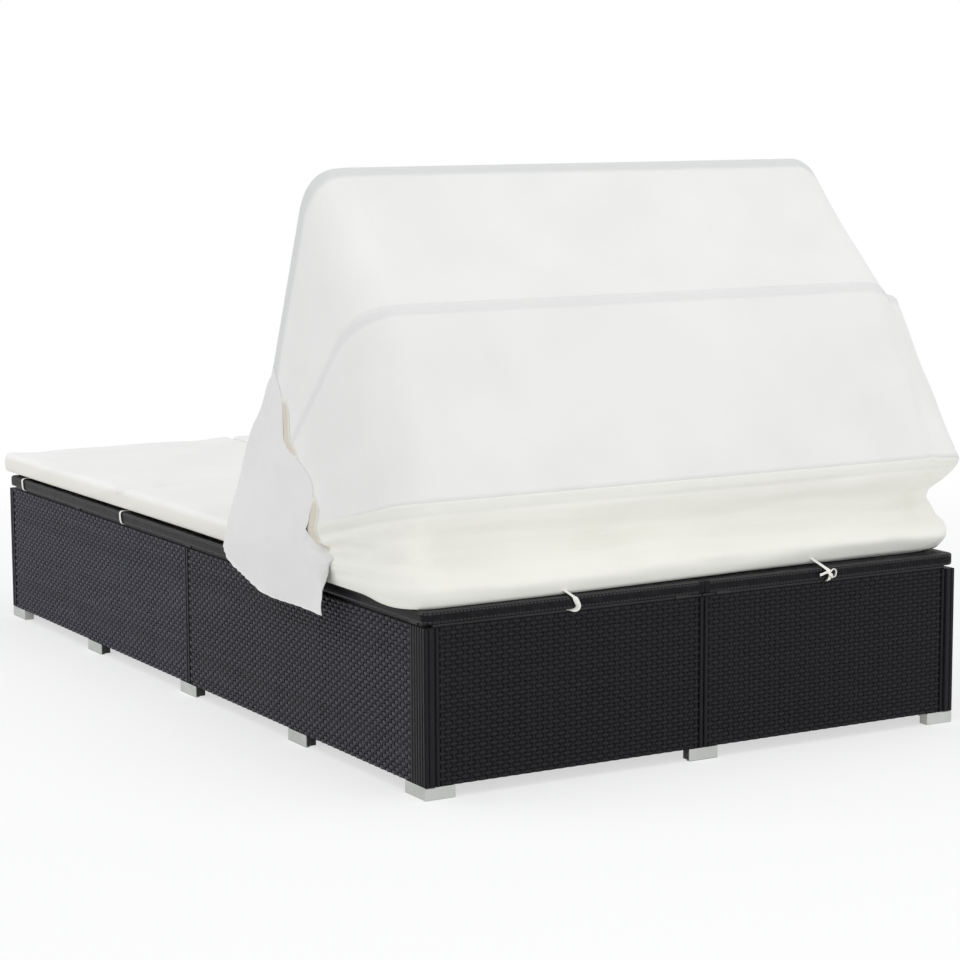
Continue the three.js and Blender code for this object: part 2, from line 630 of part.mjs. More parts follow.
// One tier of the hood's cloth. It leaves one tube and meets the next along the line that touches both, or
// ends in a hem that hangs over the hem bow. Between them it bulges or sags by the given depth, fully over
// the bars and less along the legs.
function tier(upper, lower, { depthAt, legShare, rowCount }) {
  const hemmed = lower === hemOutline;
  const from = placesOf(upper, cloth.start);
  const to = placesOf(lower, hemmed ? hemBow.legStart : cloth.start);
  const lift = tubeRadius + gap + cloth.thickness / 2;
  const centre = (from.length - 1) / 2;
  const widest = to[centre].middle.distanceTo(from[centre].middle);
  const columns = from.map((a, k) => {
    const b = to[k];
    const line = b.middle.clone().sub(a.middle);
    const length = line.length();
    line.normalize();
    const outward = a.outward.clone().add(b.outward);
    outward.addScaledVector(line, -outward.dot(line)).normalize();
    const scale = (length / widest) * THREE.MathUtils.lerp(1, legShare, Math.abs(outward.x));
    const start = a.middle.clone().addScaledVector(outward, lift).addScaledVector(line, cloth.edgeRoom);
    const end = b.middle.clone().addScaledVector(hemmed ? b.outward : outward, lift);
    if (hemmed) end.z -= cloth.hemDrop;
    else end.addScaledVector(line, -cloth.edgeRoom);
    return { start, end, outward, scale };
  });
  const rows = [];
  for (let r = 0; r <= rowCount; r++) {
    const share = r / rowCount;
    const pointIn = ({ start, end, outward, scale }) =>
      start.clone().lerp(end, share).addScaledVector(outward, depthAt(share) * scale);
    rows.push(columns.map(pointIn));
  }
  return sheet(rows, cloth.thickness);
}

const arch = (share) => 4 * share * (1 - share);
const bump = (share, middle, width) => Math.exp(-(((share - middle) / width) ** 2));
const forms = {
  front: { depthAt: (share) => -drape.sag * arch(share), legShare: 0, rowCount: clothCounts.tierRows },
  rear: { depthAt: (share) => drape.belly * arch(share), legShare: 0, rowCount: clothCounts.tierRows },
  low: { depthAt: lowTierDepth, legShare: lowLegShare, rowCount: clothCounts.lowRows },
};
piece("hood_front_tier", tier(bows.front, bows.middle, forms.front), looks.hood);
piece("hood_rear_tier", tier(bows.middle, bows.rear, forms.rear), looks.hood);
piece("hood_low_tier", tier(bows.rear, hemOutline, forms.low), looks.hood);

// The lowest tier is drawn in at its waist and bulges out again above its hem.
function lowTierDepth(share) {
  return arch(share) * (drape.hemBulge - drape.waist * bump(share, waistPlaceShare, waistWidthShare));
}

// A side flap: it hangs outside the pivot from the front bow's leg, past the rail, with soft folds below.
function tierFace(outline, out) {
  const splayShare = Math.min(out / (outline.reach - outline.corner), 1);
  return outline.leg + outline.splay * splayShare + tubeRadius + gap + cloth.thickness + flap.clear;
}

function flapSide(y, z) {
  const out = Math.hypot(y, z);
  const turn = THREE.MathUtils.radToDeg(Math.atan2(z, y));
  const { front, middle, rear } = bows;
  const topShare = THREE.MathUtils.clamp((turn - middle.angle) / (front.angle - middle.angle), 0, 1);
  const lowShare = THREE.MathUtils.clamp((turn - rear.angle) / (middle.angle - rear.angle), 0, 1);
  const low = THREE.MathUtils.lerp(tierFace(rear, out), tierFace(middle, out), lowShare);
  const outside = THREE.MathUtils.lerp(low, tierFace(front, out), topShare);
  const near = 1 - THREE.MathUtils.smoothstep(out, flap.nearPivot, 2 * flap.nearPivot);
  return THREE.MathUtils.lerp(outside, nutSide + nut.height + flap.clear, near) + cloth.thickness / 2;
}

function sideFlap() {
  const curve = (shares) =>
    new THREE.SplineCurve(shares.map(([y, z]) => new THREE.Vector2(y * flap.length, z * flap.height)));
  const [top, bottom] = [curve(flapTopShares), curve(flapBottomShares)];
  const rows = [];
  for (let r = 0; r <= flapCounts.down; r++) {
    const down = r / flapCounts.down;
    const row = [];
    for (let c = 0; c <= flapCounts.along; c++) {
      const along = c / flapCounts.along;
      const place = top.getPoint(along).lerp(bottom.getPoint(along), down);
      place.x -= flap.swell * arch(down) * (1 - along) ** 2;
      const pleat = flap.fold * down * Math.sin(2 * quarter * flapCounts.folds * along) ** 2;
      const x = flapSide(place.x, place.y) + pleat;
      row.push(new THREE.Vector3(x, pivot.y + place.x, pivot.z + place.y));
    }
    rows.push(row);
  }
  return sheet(rows, cloth.thickness);
}

for (const [side, sign] of Object.entries(sides)) {
  piece(`hood_flap_${side}`, mirrored(sideFlap(), sign, 1), looks.hood);
}

// Ties: tapes that hang from the mattress or the hem, pass under a rail and come up on its other side. Each
// is drawn as the section across its rail, with the rail's outer face at 0, and runs its width along it.
function tapeRound(railWidth) {
  const { thickness, radius } = tape;
  const wide = railWidth + 2 * gap;
  const high = railTop - railBottom + gap;
  const outline = new THREE.Shape().moveTo(-thickness, high).lineTo(-thickness, radius);
  outline.absarc(radius, radius, radius + thickness, 2 * quarter, 3 * quarter);
  outline.lineTo(wide - radius, -thickness);
  outline.absarc(wide - radius, radius, radius + thickness, 3 * quarter, 4 * quarter);
  outline.lineTo(wide + thickness, high).lineTo(wide, high).lineTo(wide, radius);
  outline.absarc(wide - radius, radius, radius, 0, -quarter, true).lineTo(radius, 0);
  outline.absarc(radius, radius, radius, -quarter, -2 * quarter, true).lineTo(0, high);
  const band = drawn(outline, tape.width).translate(-wide + gap, -gap, -tape.width / 2);
  return band.rotateX(quarter);
}

// A tie's place along a side rail, kept clear of the slats on both sides.
function tiePlace(share) {
  const place = footFace + share * base.length;
  const bay = Math.max(Math.floor((place - bayStart(0)) / slatPitch), 0);
  return THREE.MathUtils.clamp(place, bayStart(bay) + tape.width, bayEnd(bay) - tape.width);
}

for (const [side, sign] of Object.entries(sides)) {
  sideTieShares.forEach((share, i) => {
    const tie = piece(`tie_side_${side}_${i + 1}`, mirrored(tapeRound(rail.width), sign, 1), looks.tape);
    tie.position.set(sign * sideFace, tiePlace(share), railBottom);
  });
  const knot = new THREE.SphereGeometry(tape.knot / 2, facets.tube, facets.bend);
  knot.translate(gap + tape.thickness + tape.knot / 2 - bite, 0, tape.knot);
  const band = solid(tapeRound(rail.endWidth));
  const tie = piece(`tie_head_${side}`, geometryOf(join(band, [knot])), looks.tape);
  tie.position.set(sign * headTieShare * sideFace, headFace, railBottom);
  tie.rotation.z = quarter;
}

export default daybed;
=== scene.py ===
# Outdoor daybed with a folding hood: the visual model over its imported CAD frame, in metres.
import math

import bmesh
import bpy
import numpy as np
from mathutils import Matrix, Vector
from mathutils.bvhtree import BVHTree
from mathutils.kdtree import KDTree


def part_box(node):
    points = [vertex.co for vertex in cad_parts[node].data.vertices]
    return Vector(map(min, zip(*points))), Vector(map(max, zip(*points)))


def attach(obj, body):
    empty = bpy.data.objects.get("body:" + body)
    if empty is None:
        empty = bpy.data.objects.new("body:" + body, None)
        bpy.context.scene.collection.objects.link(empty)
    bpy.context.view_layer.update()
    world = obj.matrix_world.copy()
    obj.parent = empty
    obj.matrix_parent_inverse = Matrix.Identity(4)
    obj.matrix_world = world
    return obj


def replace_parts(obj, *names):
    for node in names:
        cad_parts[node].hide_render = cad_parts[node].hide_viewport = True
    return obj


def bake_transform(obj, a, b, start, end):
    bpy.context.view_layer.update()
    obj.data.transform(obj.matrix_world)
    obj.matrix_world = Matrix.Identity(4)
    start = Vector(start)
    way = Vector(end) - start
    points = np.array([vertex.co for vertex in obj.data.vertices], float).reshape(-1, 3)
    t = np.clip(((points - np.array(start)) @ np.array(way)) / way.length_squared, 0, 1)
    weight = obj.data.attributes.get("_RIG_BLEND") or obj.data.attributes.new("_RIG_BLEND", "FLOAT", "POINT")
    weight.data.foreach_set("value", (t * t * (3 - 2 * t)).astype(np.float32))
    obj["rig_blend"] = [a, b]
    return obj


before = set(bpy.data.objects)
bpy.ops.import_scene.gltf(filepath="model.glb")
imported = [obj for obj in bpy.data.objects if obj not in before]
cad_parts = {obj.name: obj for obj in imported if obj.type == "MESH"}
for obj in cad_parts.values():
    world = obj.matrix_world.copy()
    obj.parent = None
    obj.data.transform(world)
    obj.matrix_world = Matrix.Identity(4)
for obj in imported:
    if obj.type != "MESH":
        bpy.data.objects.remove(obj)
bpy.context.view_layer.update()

bpy.context.scene.view_settings.view_transform = "Standard"
MM = 0.001
LIVE_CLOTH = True
# The base in metres: its ends and middle along, its half width, and its panels' lower and upper edges.
BASE = {"foot": -0.979, "head": 1.021, "middle": 0.021, "side": 0.584, "low": 0.023, "top": 0.304}


# Camera and stage
def make_camera():
    azimuth, elevation, roll = (math.radians(a) for a in (149.8711, 8.09335, -0.26845))
    lens = bpy.data.cameras.new("camera")
    lens.sensor_width = 36
    lens.lens = 102.466
    lens.clip_end = 60
    camera = bpy.data.objects.new("camera", lens)
    bpy.context.scene.collection.objects.link(camera)
    camera.matrix_world = (
        Matrix.Translation((2.81128, 5.05174, 1.21718)) @ Matrix.Rotation(azimuth, 4, "Z")
        @ Matrix.Rotation(math.pi / 2 - elevation, 4, "X") @ Matrix.Rotation(roll, 4, "Z"))
    bpy.context.scene.camera = camera


class Nodes:
    """A material's or world's nodes, added and joined by short calls."""

    def __init__(self, tree):
        self.tree = tree
        tree.nodes.clear()

    def add(self, kind, inputs=None, **settings):
        node = self.tree.nodes.new("ShaderNode" + kind)
        for key, value in settings.items():
            setattr(node, key, value)
        for key, value in (inputs or {}).items():
            socket = node.inputs[key]
            if isinstance(value, bpy.types.NodeSocket):
                self.tree.links.new(value, socket)
            else:
                socket.default_value = value
        return node

    def ramp(self, factor, stops):
        node = self.add("ValToRGB", {"Fac": factor})
        for element, (place, colour) in zip(node.color_ramp.elements, stops):
            element.position = place
            element.color = (*colour, 1)
        return node.outputs["Color"]

    def math(self, operation, *values):
        return self.add("Math", dict(enumerate(values)), operation=operation).outputs[0]

    def mapped(self, value, source, target, **settings):
        ends = dict(zip(("From Min", "From Max", "To Min", "To Max"), (*source, *target)))
        return self.add("MapRange", {"Value": value, **ends}, **settings).outputs[0]

    def seen(self):
        """1 for the rays that show the background itself, straight or in metal and glass."""
        path = self.add("LightPath").outputs
        seen = self.math("MAXIMUM", path["Is Camera Ray"], path["Is Glossy Ray"])
        return self.math("MAXIMUM", seen, path["Is Transmission Ray"])


def new_material(name):
    material = bpy.data.materials.new(name)
    material.use_nodes = True
    return material, Nodes(material.node_tree)


def make_stage():
    world = bpy.data.worlds.new("studio")
    bpy.context.scene.world = world
    world.use_nodes = True
    n = Nodes(world.node_tree)
    shown = n.add("Background", {"Color": (1, 1, 1, 1), "Strength": 1.0}).outputs[0]
    light = n.add("Background", {"Color": (0.97, 0.98, 1, 1), "Strength": 0.8}).outputs[0]
    n.add("OutputWorld", {"Surface": n.add("MixShader", {0: n.seen(), 1: light, 2: shown}).outputs[0]})

    mesh = bpy.data.meshes.new("floor")
    reach = 14
    mesh.from_pydata([(-reach, -reach, 0), (reach, -reach, 0), (reach, reach, 0), (-reach, reach, 0)],
                     [], [(0, 1, 2, 3)])
    floor = bpy.data.objects.new("floor", mesh)
    bpy.context.scene.collection.objects.link(floor)
    material, n = new_material("floor_paint")
    # Near the daybed the floor keeps its shadow; further out it runs into the white background.
    place = n.add("TexCoord").outputs["Object"]
    distance = n.add("VectorMath", {0: place}, operation="LENGTH").outputs["Value"]
    far = n.mapped(distance, (1.4, 3.4), (0.62, 1), interpolation_type="SMOOTHSTEP")
    # Deep under the base the floor stays in shade, so nothing bright shows through its gaps.
    axes = n.add("SeparateXYZ", {0: place}).outputs
    from_middle = n.math("ABSOLUTE", n.math("SUBTRACT", axes["Y"], BASE["middle"]))
    in_x = n.math("SUBTRACT", BASE["side"], n.math("ABSOLUTE", axes["X"]))
    in_y = n.math("SUBTRACT", BASE["head"] - BASE["middle"], from_middle)
    open_floor = n.mapped(n.math("MINIMUM", in_x, in_y), (0.17, 0.22), (1, 0))
    cover = n.math("MULTIPLY", n.math("MULTIPLY", n.seen(), far), open_floor)
    paint = n.add("BsdfDiffuse", {"Color": (0.9, 0.9, 0.9, 1)}).outputs[0]
    glow = n.add("Emission", {"Color": (1, 1, 1, 1), "Strength": 1.0}).outputs[0]
    n.add("OutputMaterial", {"Surface": n.add("MixShader", {0: cover, 1: paint, 2: glow}).outputs[0]})
    mesh.materials.append(material)


def make_light(name, place, aim, size, power):
    data = bpy.data.lights.new(name, "AREA")
    data.shape = "RECTANGLE"
    data.size, data.size_y = size
    data.energy = power
    lamp = bpy.data.objects.new(name, data)
    turn = (Vector(place) - Vector(aim)).to_track_quat("Z", "Y").to_matrix().to_4x4()
    lamp.matrix_world = Matrix.Translation(place) @ turn
    bpy.context.scene.collection.objects.link(lamp)


make_camera()
make_stage()
make_light("overhead", (0.2, 1.2, 4.2), (0, 0.3, 0.3), (4.5, 4.5), 42)
make_light("side_softbox", (3.9, -2.0, 1.75), (0.4, 0.2, 0.2), (1.1, 1.0), 26)
make_light("rear_fill", (-0.6, 6.4, 1.9), (0, 0.9, 0.5), (5.5, 2.8), 60)


# Materials
def shader(name, colour, roughness, build, sockets=()):
    """A material whose colour, roughness and normal may come from what build returns."""
    material, n = new_material(name)
    surface = n.add("BsdfPrincipled", {"Base Color": (*colour, 1), "Roughness": roughness, **dict(sockets)})
    for socket, value in build(n).items():
        n.tree.links.new(value, surface.inputs[socket])
    n.add("OutputMaterial", {"Surface": surface.outputs[0]})
    return material


def noise(n, scale, detail, stretch=(1, 1, 1)):
    place = n.add("TexCoord").outputs["Object"]
    place = n.add("Mapping", {"Vector": place, "Scale": stretch}).outputs[0]
    return n.add("TexNoise", {"Vector": place, "Scale": scale, "Detail": detail}).outputs[0]


def waves(n, period, axis, distortion=0.0):
    """Bands across one axis; a wave texture's period is 2 pi over 20 times its scale."""
    inputs = {"Vector": n.add("TexCoord").outputs["Object"], "Scale": math.tau / (20 * period),
              "Distortion": distortion}
    return n.add("TexWave", inputs, bands_direction=axis).outputs["Fac"]


def bump(n, height, distance, strength):
    return n.add("Bump", {"Height": height, "Distance": distance, "Strength": strength}).outputs[0]


def rattan(name, groove_axis, dark, pale, specular=0.2):
    """Extruded strand: fine grooves along it, a sheen that changes, and paler where its crest attribute is high. On the
    woven panels that is a painted highlight on the strands' crests and painted shade in their hollows; on the rails it
    is random wear.
    """
    def build(n):
        crest = n.add("Attribute", attribute_name="crest").outputs["Fac"]
        island = n.add("NewGeometry").outputs["Random Per Island"]
        streak = noise(n, 60, 4)
        blend = n.math("MULTIPLY_ADD", island, 0.25, n.math("MULTIPLY", streak, 0.3))
        # The crest value lifts the colour: painted highlight and painted shade on the panels' strands, random wear on
        # the rails.
        blend = n.math("MULTIPLY_ADD", crest, 0.5, blend)
        groove = waves(n, 0.9 * MM, groove_axis, 0.6) if groove_axis else noise(n, 420, 2)
        return {
            "Base Color": n.ramp(blend, ((0.2, dark), (0.85, pale))),
            "Roughness": n.mapped(streak, (0, 1), (0.24, 0.5)),
            "Normal": bump(n, groove, 0.12 * MM, 0.8),
        }
    return shader(name, pale, 0.36, build, {"Specular IOR Level": specular})


def paint(name, colour, roughness):
    """Powder coat: a fine orange peel, rubbed a little paler in patches."""
    def build(n):
        worn = noise(n, 9, 4)
        pale = tuple(min(c * 1.35 + 0.004, 1) for c in colour)
        return {
            "Base Color": n.ramp(worn, ((0.35, colour), (0.8, pale))),
            "Roughness": n.mapped(worn, (0, 1), (roughness - 0.08, roughness + 0.12)),
            "Normal": bump(n, noise(n, 900, 2), 0.06 * MM, 0.6),
        }
    return shader(name, colour, roughness, build)


def metal(name, colour, roughness, grain=(1, 1, 1)):
    """Bare metal: a drawn grain and faint smudges."""
    def build(n):
        smudge = noise(n, 14, 3)
        worn = tuple(c * 0.8 for c in colour)
        return {
            "Base Color": n.ramp(smudge, ((0.3, worn), (0.7, colour))),
            "Roughness": n.mapped(smudge, (0, 1), (roughness - 0.08, roughness + 0.1)),
            "Normal": bump(n, noise(n, 500, 2, grain), 0.03 * MM, 0.5),
        }
    return shader(name, colour, roughness, build, {"Metallic": 0.75})


def fabric(name, colour, thread, slub=0.03, painted_tone=None):
    """Woven cloth: threads across each other, uneven yarn, and an attribute that mixes in a painted tone: painted shade
    on the hood's sleeves, hem and flaps and on the mattress's sides, and a paler painted glow round the linings'
    borders.
    """
    def build(n):
        weave = n.math("ADD", n.math("ADD", waves(n, thread, "X"), waves(n, thread, "Y")), waves(n, thread, "Z"))
        low = tuple(c * (1 - 2 * slub) for c in colour)
        tone = n.ramp(noise(n, 5, 5), ((0.25, low), (0.7, colour)))
        if painted_tone:
            # The attribute mixes the cloth towards its painted tone: painted shade, or a painted glow.
            painted_shading = n.add("Attribute", attribute_name="painted_shading").outputs["Fac"]
            # An RGBA mix takes its factor at input 0 and its colours at inputs 6 and 7.
            tone = n.add("Mix", {0: painted_shading, 6: tone, 7: (*painted_tone, 1)}, data_type="RGBA").outputs[2]
        return {
            "Base Color": tone,
            "Normal": bump(n, n.math("MULTIPLY_ADD", noise(n, 220, 3), 0.6, weave), 0.1 * MM, 0.5),
        }
    return shader(name, colour, 0.92, build,
                  {"Specular IOR Level": 0.2, "Sheen Weight": 0.25, "Sheen Roughness": 0.6})


# Each rattan's groove direction, its dark and its pale colour, and its gloss where that isn't the usual one.
# These are lit and shaded copies of one rattan: painted light makes the long sides paler and glossier, their foot
# halves most, and painted shade makes the ends darker, flatter and duller.
RATTANS = {
    "weaver_foot": ("Z", (0.002, 0.002, 0.004), (0.066, 0.064, 0.091)),
    "stake_foot": ("Y", (0.002, 0.002, 0.004), (0.03, 0.029, 0.052)),
    "weaver_head": ("Z", (0.002, 0.002, 0.003), (0.054, 0.052, 0.071)),
    "stake_head": ("Y", (0.002, 0.002, 0.003), (0.02, 0.02, 0.024)),
    "weaver_end_shaded": ("Z", (0.012, 0.0117, 0.0135), (0.0185, 0.018, 0.0215), 0.1),
    "stake_end": ("X", (0.012, 0.0117, 0.0135), (0.0185, 0.018, 0.0215), 0.1),
    "wrap": (None, (0.002, 0.002, 0.0025), (0.012, 0.012, 0.015), 0.11),
}
LOOKS = {
    **{key: rattan("rattan_" + key, *values) for key, values in RATTANS.items()},
    "frame": paint("frame_paint", (0.007, 0.007, 0.008), 0.5),
    "foot": metal("foot_satin", (0.60, 0.61, 0.59), 0.5, (1, 1, 6)),
    "core": paint("foot_core", (0.018, 0.018, 0.02), 0.55),
    # A cloth's second colour is a painted tone: painted shade on the mattress's sides and on the hood's sleeves and
    # flaps.
    "mattress": fabric("mattress_canvas", (0.88, 0.875, 0.85), 1.1 * MM, painted_tone=(0.76, 0.74, 0.67)),
    "hood": fabric("hood_canvas", (0.80, 0.795, 0.775), 0.9 * MM, painted_tone=(0.64, 0.645, 0.635)),
    # The low tier's cloth is a brighter, yellower copy of the hood's: painted light for the light that the floor throws
    # up onto it, with a darker painted shade for its hem.
    "hood_low": fabric("hood_canvas_low", (0.86, 0.855, 0.785), 0.9 * MM, painted_tone=(0.60, 0.60, 0.56)),
    # The lining's tan is painted shade, the colour of the hood's shaded inside, and its paler tone is a painted glow
    # round its border.
    "lining": fabric("hood_lining_painted_shade", (0.66, 0.60, 0.51), 0.9 * MM, 0.05, painted_tone=(0.80, 0.79, 0.70)),
    "tape": fabric("tie_cotton", (0.86, 0.845, 0.79), 0.7 * MM, 0.05),
    "tube": paint("bow_enamel", (0.72, 0.72, 0.71), 0.35),
    "zinc": metal("hardware_zinc", (0.62, 0.62, 0.63), 0.32),
}


def dress_nodes():
    """Every CAD node gets its material; the soft and woven ones are replaced further on."""
    looks = {"weave": "weaver_end_shaded", "foot": "foot", "mattress": "mattress", "hood_bracket": "frame", "hood": "hood",
             "tie": "tape", "bow": "tube", "pivot_bolt": "zinc", "dome_nut": "zinc", "washer": "zinc"}
    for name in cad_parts:
        look = next((look for start, look in looks.items() if name.startswith(start)), "frame")
        materials = bpy.data.objects[name].data.materials
        materials.clear()
        materials.append(LOOKS[look])


dress_nodes()


# Mesh helpers
def piece(name, points, faces, look, body="root", slot=None, smooth=True, slots=None):
    mesh = bpy.data.meshes.new(name)
    mesh.from_pydata(np.asarray(points, float).tolist(), [], faces)
    for key in [look] if isinstance(look, str) else look:
        mesh.materials.append(LOOKS[key])
    if slots is not None:
        mesh.polygons.foreach_set("material_index", np.asarray(slots, np.int32))
    mesh.polygons.foreach_set("use_smooth", np.full(len(mesh.polygons), smooth))
    mesh.update()
    obj = bpy.data.objects.new(name, mesh)
    bpy.context.scene.collection.objects.link(obj)
    if body:
        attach(obj, body)
    return obj


def grid_faces(rows, columns, wrap=False, flip=False, start=0):
    r, c = np.meshgrid(np.arange(rows - 1), np.arange(columns if wrap else columns - 1), indexing="ij")
    a = start + r * columns + c
    b = start + r * columns + (c + 1) % columns
    quads = np.stack([a, b, b + columns, a + columns], -1).reshape(-1, 4)
    return quads[:, ::-1] if flip else quads


def float_attribute(obj, name, values):
    attribute = obj.data.attributes.get(name) or obj.data.attributes.new(name, "FLOAT", "POINT")
    attribute.data.foreach_set("value", np.asarray(values, np.float32).ravel())


def modifier(obj, kind, **settings):
    added = obj.modifiers.new(kind.lower(), kind)
    for key, value in settings.items():
        setattr(added, key, value)
    return added


def rim_of(rows, columns):
    """The numbers of a grid's outer points, in order round it."""
    number = np.arange(rows * columns).reshape(rows, columns)
    return np.concatenate([number[0], number[1:, -1], number[-1, -2::-1], number[-2:0:-1, 0]])


def unit(v):
    return v / np.linalg.norm(v, axis=-1, keepdims=True)


def smoothstep(value, low, high):
    t = np.clip((value - low) / (high - low), 0, 1)
    return t * t * (3 - 2 * t)


def ripple(u, v, seed, waves_count=14, low=0.6, high=2.4):
    """Smooth seeded noise over two coordinates, about -1 to 1, from a sum of waves."""
    random = np.random.default_rng(seed)
    total = np.zeros(np.broadcast(u, v).shape)
    for _ in range(waves_count):
        angle, turn = random.uniform(0, math.tau, 2)
        rate = math.tau * random.uniform(low, high)
        total = total + np.sin(rate * (u * math.cos(angle) + v * math.sin(angle)) + turn)
    return total / math.sqrt(waves_count)


# Wicker panels
SKIN = 5 * MM
PANEL_HEIGHT = 0.281
WEAVER = {"rows": 37, "width": 7.8 * MM, "thick": 1.25 * MM, "steps": 3}
STAKE = {"pitch": 11.5 * MM, "width": 8.6 * MM, "thick": 1.2 * MM}
BORDER = {"pitch": 9 * MM, "width": 8.9 * MM, "rise": 1.2 * MM}
SIDES = {"left": -1, "right": 1}
GAP = 0.3 * MM
END_LENGTH = BASE["side"] - 20.3 * MM - 1.5 * GAP


def ribbon(path, across, outward, width, thick):
    """A closed ribbon along a path: two edges, a ridge on its outer face, and a flat back."""
    raised = path + outward * thick * 0.12
    half = across * (width / 2)
    return np.stack([raised - half, path + outward * thick * 0.5, raised + half, path - outward * thick * 0.5], 1)


def between(knots, shares):
    """Values that go from each knot to the next by shares, and then the last knot."""
    return np.append((knots[:-1, None] + np.diff(knots)[:, None] * shares).ravel(), knots[-1])


def weave_strips(length, place, outward, along, edges, swing):
    """The strands of one skin: each as its points, 0 for a weaver or 1 for a stake, and how far it crests, which the
    material turns into a painted highlight on crests and painted shade in hollows.
    """
    up = np.array([0, 0, 1.0])
    borders = [BORDER["pitch"] * (np.arange(count) + 0.5) + 0.6 * MM for count in edges]
    inner = [borders[0][-1] + 10 * MM, length - borders[1][-1] - 10 * MM]
    count = int(round((inner[1] - inner[0]) / STAKE["pitch"])) + 1
    stakes = np.concatenate([borders[0], np.linspace(*inner, count), length - borders[1][::-1]])
    order = np.arange(len(stakes))
    at_edge = (order < edges[0]) | (order >= len(stakes) - edges[1])
    middles = (np.arange(WEAVER["rows"]) + 0.5) * PANEL_HEIGHT / WEAVER["rows"]
    shares = np.arange(WEAVER["steps"]) / WEAVER["steps"]
    u = between(np.concatenate([[0.4 * MM], stakes, [length - 0.4 * MM]]), shares)
    for row, level in enumerate(middles):
        height = np.where(at_edge, -1.1 * MM, np.where((order + row) % 2, -swing, swing))
        h = between(np.concatenate([[-1.4 * MM], height, [-1.4 * MM]]), (1 - np.cos(np.pi * shares)) / 2)
        path = place + np.outer(u, along) + up * level + np.outer(h - SKIN / 2, outward)
        yield ribbon(path, up, outward, WEAVER["width"], WEAVER["thick"]), 0, smoothstep(h, -swing, swing)
    levels = np.concatenate([[0.3 * MM], middles, [PANEL_HEIGHT - 0.3 * MM]])
    for stake, edging in zip(stakes, at_edge):
        at = levels if edging else levels[[0, -1]]
        lift, width = (BORDER["rise"], BORDER["width"]) if edging else (0, STAKE["width"])
        path = place + along * stake + np.outer(at, up) + outward * (lift - SKIN / 2)
        yield ribbon(path, along, outward, width, STAKE["thick"]), 1, np.full(len(at), 0.25)


def weave_panel(name, length, place, outward, along, looks, edges, swing):
    """One woven skin: weavers pass over and under upright stakes, and wider strands edge its two ends."""
    along, outward, place = (np.asarray(v, float) for v in (along, outward, place))
    points, faces, slots, regions, crests = [], [], [], [], []
    total = 0
    for strip, slot, crest in weave_strips(length, place, outward, along, edges, swing):
        rows, section = strip.shape[:2]
        points.append(strip.reshape(-1, 3))
        faces.append(grid_faces(rows, section, wrap=True, start=total))
        slots.append(np.full(len(faces[-1]), slot))
        regions.append(2 * slot + np.tile([0, 0, 1, 1], rows - 1))
        crests.append(np.repeat(crest, section))
        total += rows * section
    co, quads, slots, region, crest = (np.concatenate(v) for v in (points, faces, slots, regions, crests))
    if np.cross(along, outward)[2] < 0:
        quads = quads[:, ::-1]
    obj = piece(name + "_strands", co, quads.tolist(), looks, slot="wicker", slots=slots)
    # The crest values paint the strands paler where they pass over the stakes and darker where they pass under: a
    # painted highlight and painted shade.
    float_attribute(obj, "crest", crest)
    local = co[quads] - place
    v = local[..., 2] / PANEL_HEIGHT
    uv = np.stack([(local @ along) / length, (region[:, None] + 0.01 + 0.98 * v) / 4], -1).reshape(-1)
    obj.data.uv_layers.new(name="OFBake").data.foreach_set("uv", uv.astype(np.float32))
    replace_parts(obj, name)


for side, sign in SIDES.items():
    # The long sides' halves take the lit copies of the rattan, and the ends take the shaded one.
    for half, start, edges in (("foot", BASE["foot"], (2, 1)), ("head", BASE["middle"], (1, 6))):
        weave_panel(f"weave_side_{side}_{half}", 1.0 - GAP, (sign * BASE["side"], start + GAP / 2, BASE["low"]),
                    (sign, 0, 0), (0, 1, 0), ["weaver_" + half, "stake_" + half], edges, 1.35 * MM)
    for end, outward in (("foot", -1), ("head", 1)):
        weave_panel(f"weave_end_{side}_{end}", END_LENGTH, (sign * GAP / 2, BASE[end], BASE["low"]),
                    (0, outward, 0), (sign, 0, 0), ["weaver_end_shaded", "stake_end"], (1, 1), 0.9 * MM)


# Wound rails and corners
RAIL_STEP = 3.75 * MM
RAIL_CORNER = 14 * MM
# Across a rail from its inner edge over the top and round its outer face: how far in from that face, the
# level, and the way that its strands stand out, inwards and up. The first two are only on the wide end rails.
RAIL_SKIN = [
    (49, 333, 0, 1), (34, 333, 0, 1), (24.3, 333, 0, 1), (16, 333, 0, 1), (8, 333, 0, 1), (3.2, 332.6, -.5, .87),
    (.6, 330.6, -.87, .5), (0, 326.5, -1, 0), (0, 321.5, -1, 0), (0, 316, -1, 0), (.6, 312.4, -.87, -.5),
    (3.2, 310.4, -.5, -.87), (8, 310, 0, -1), (16, 310, 0, -1), (24.3, 310, 0, -1),
]


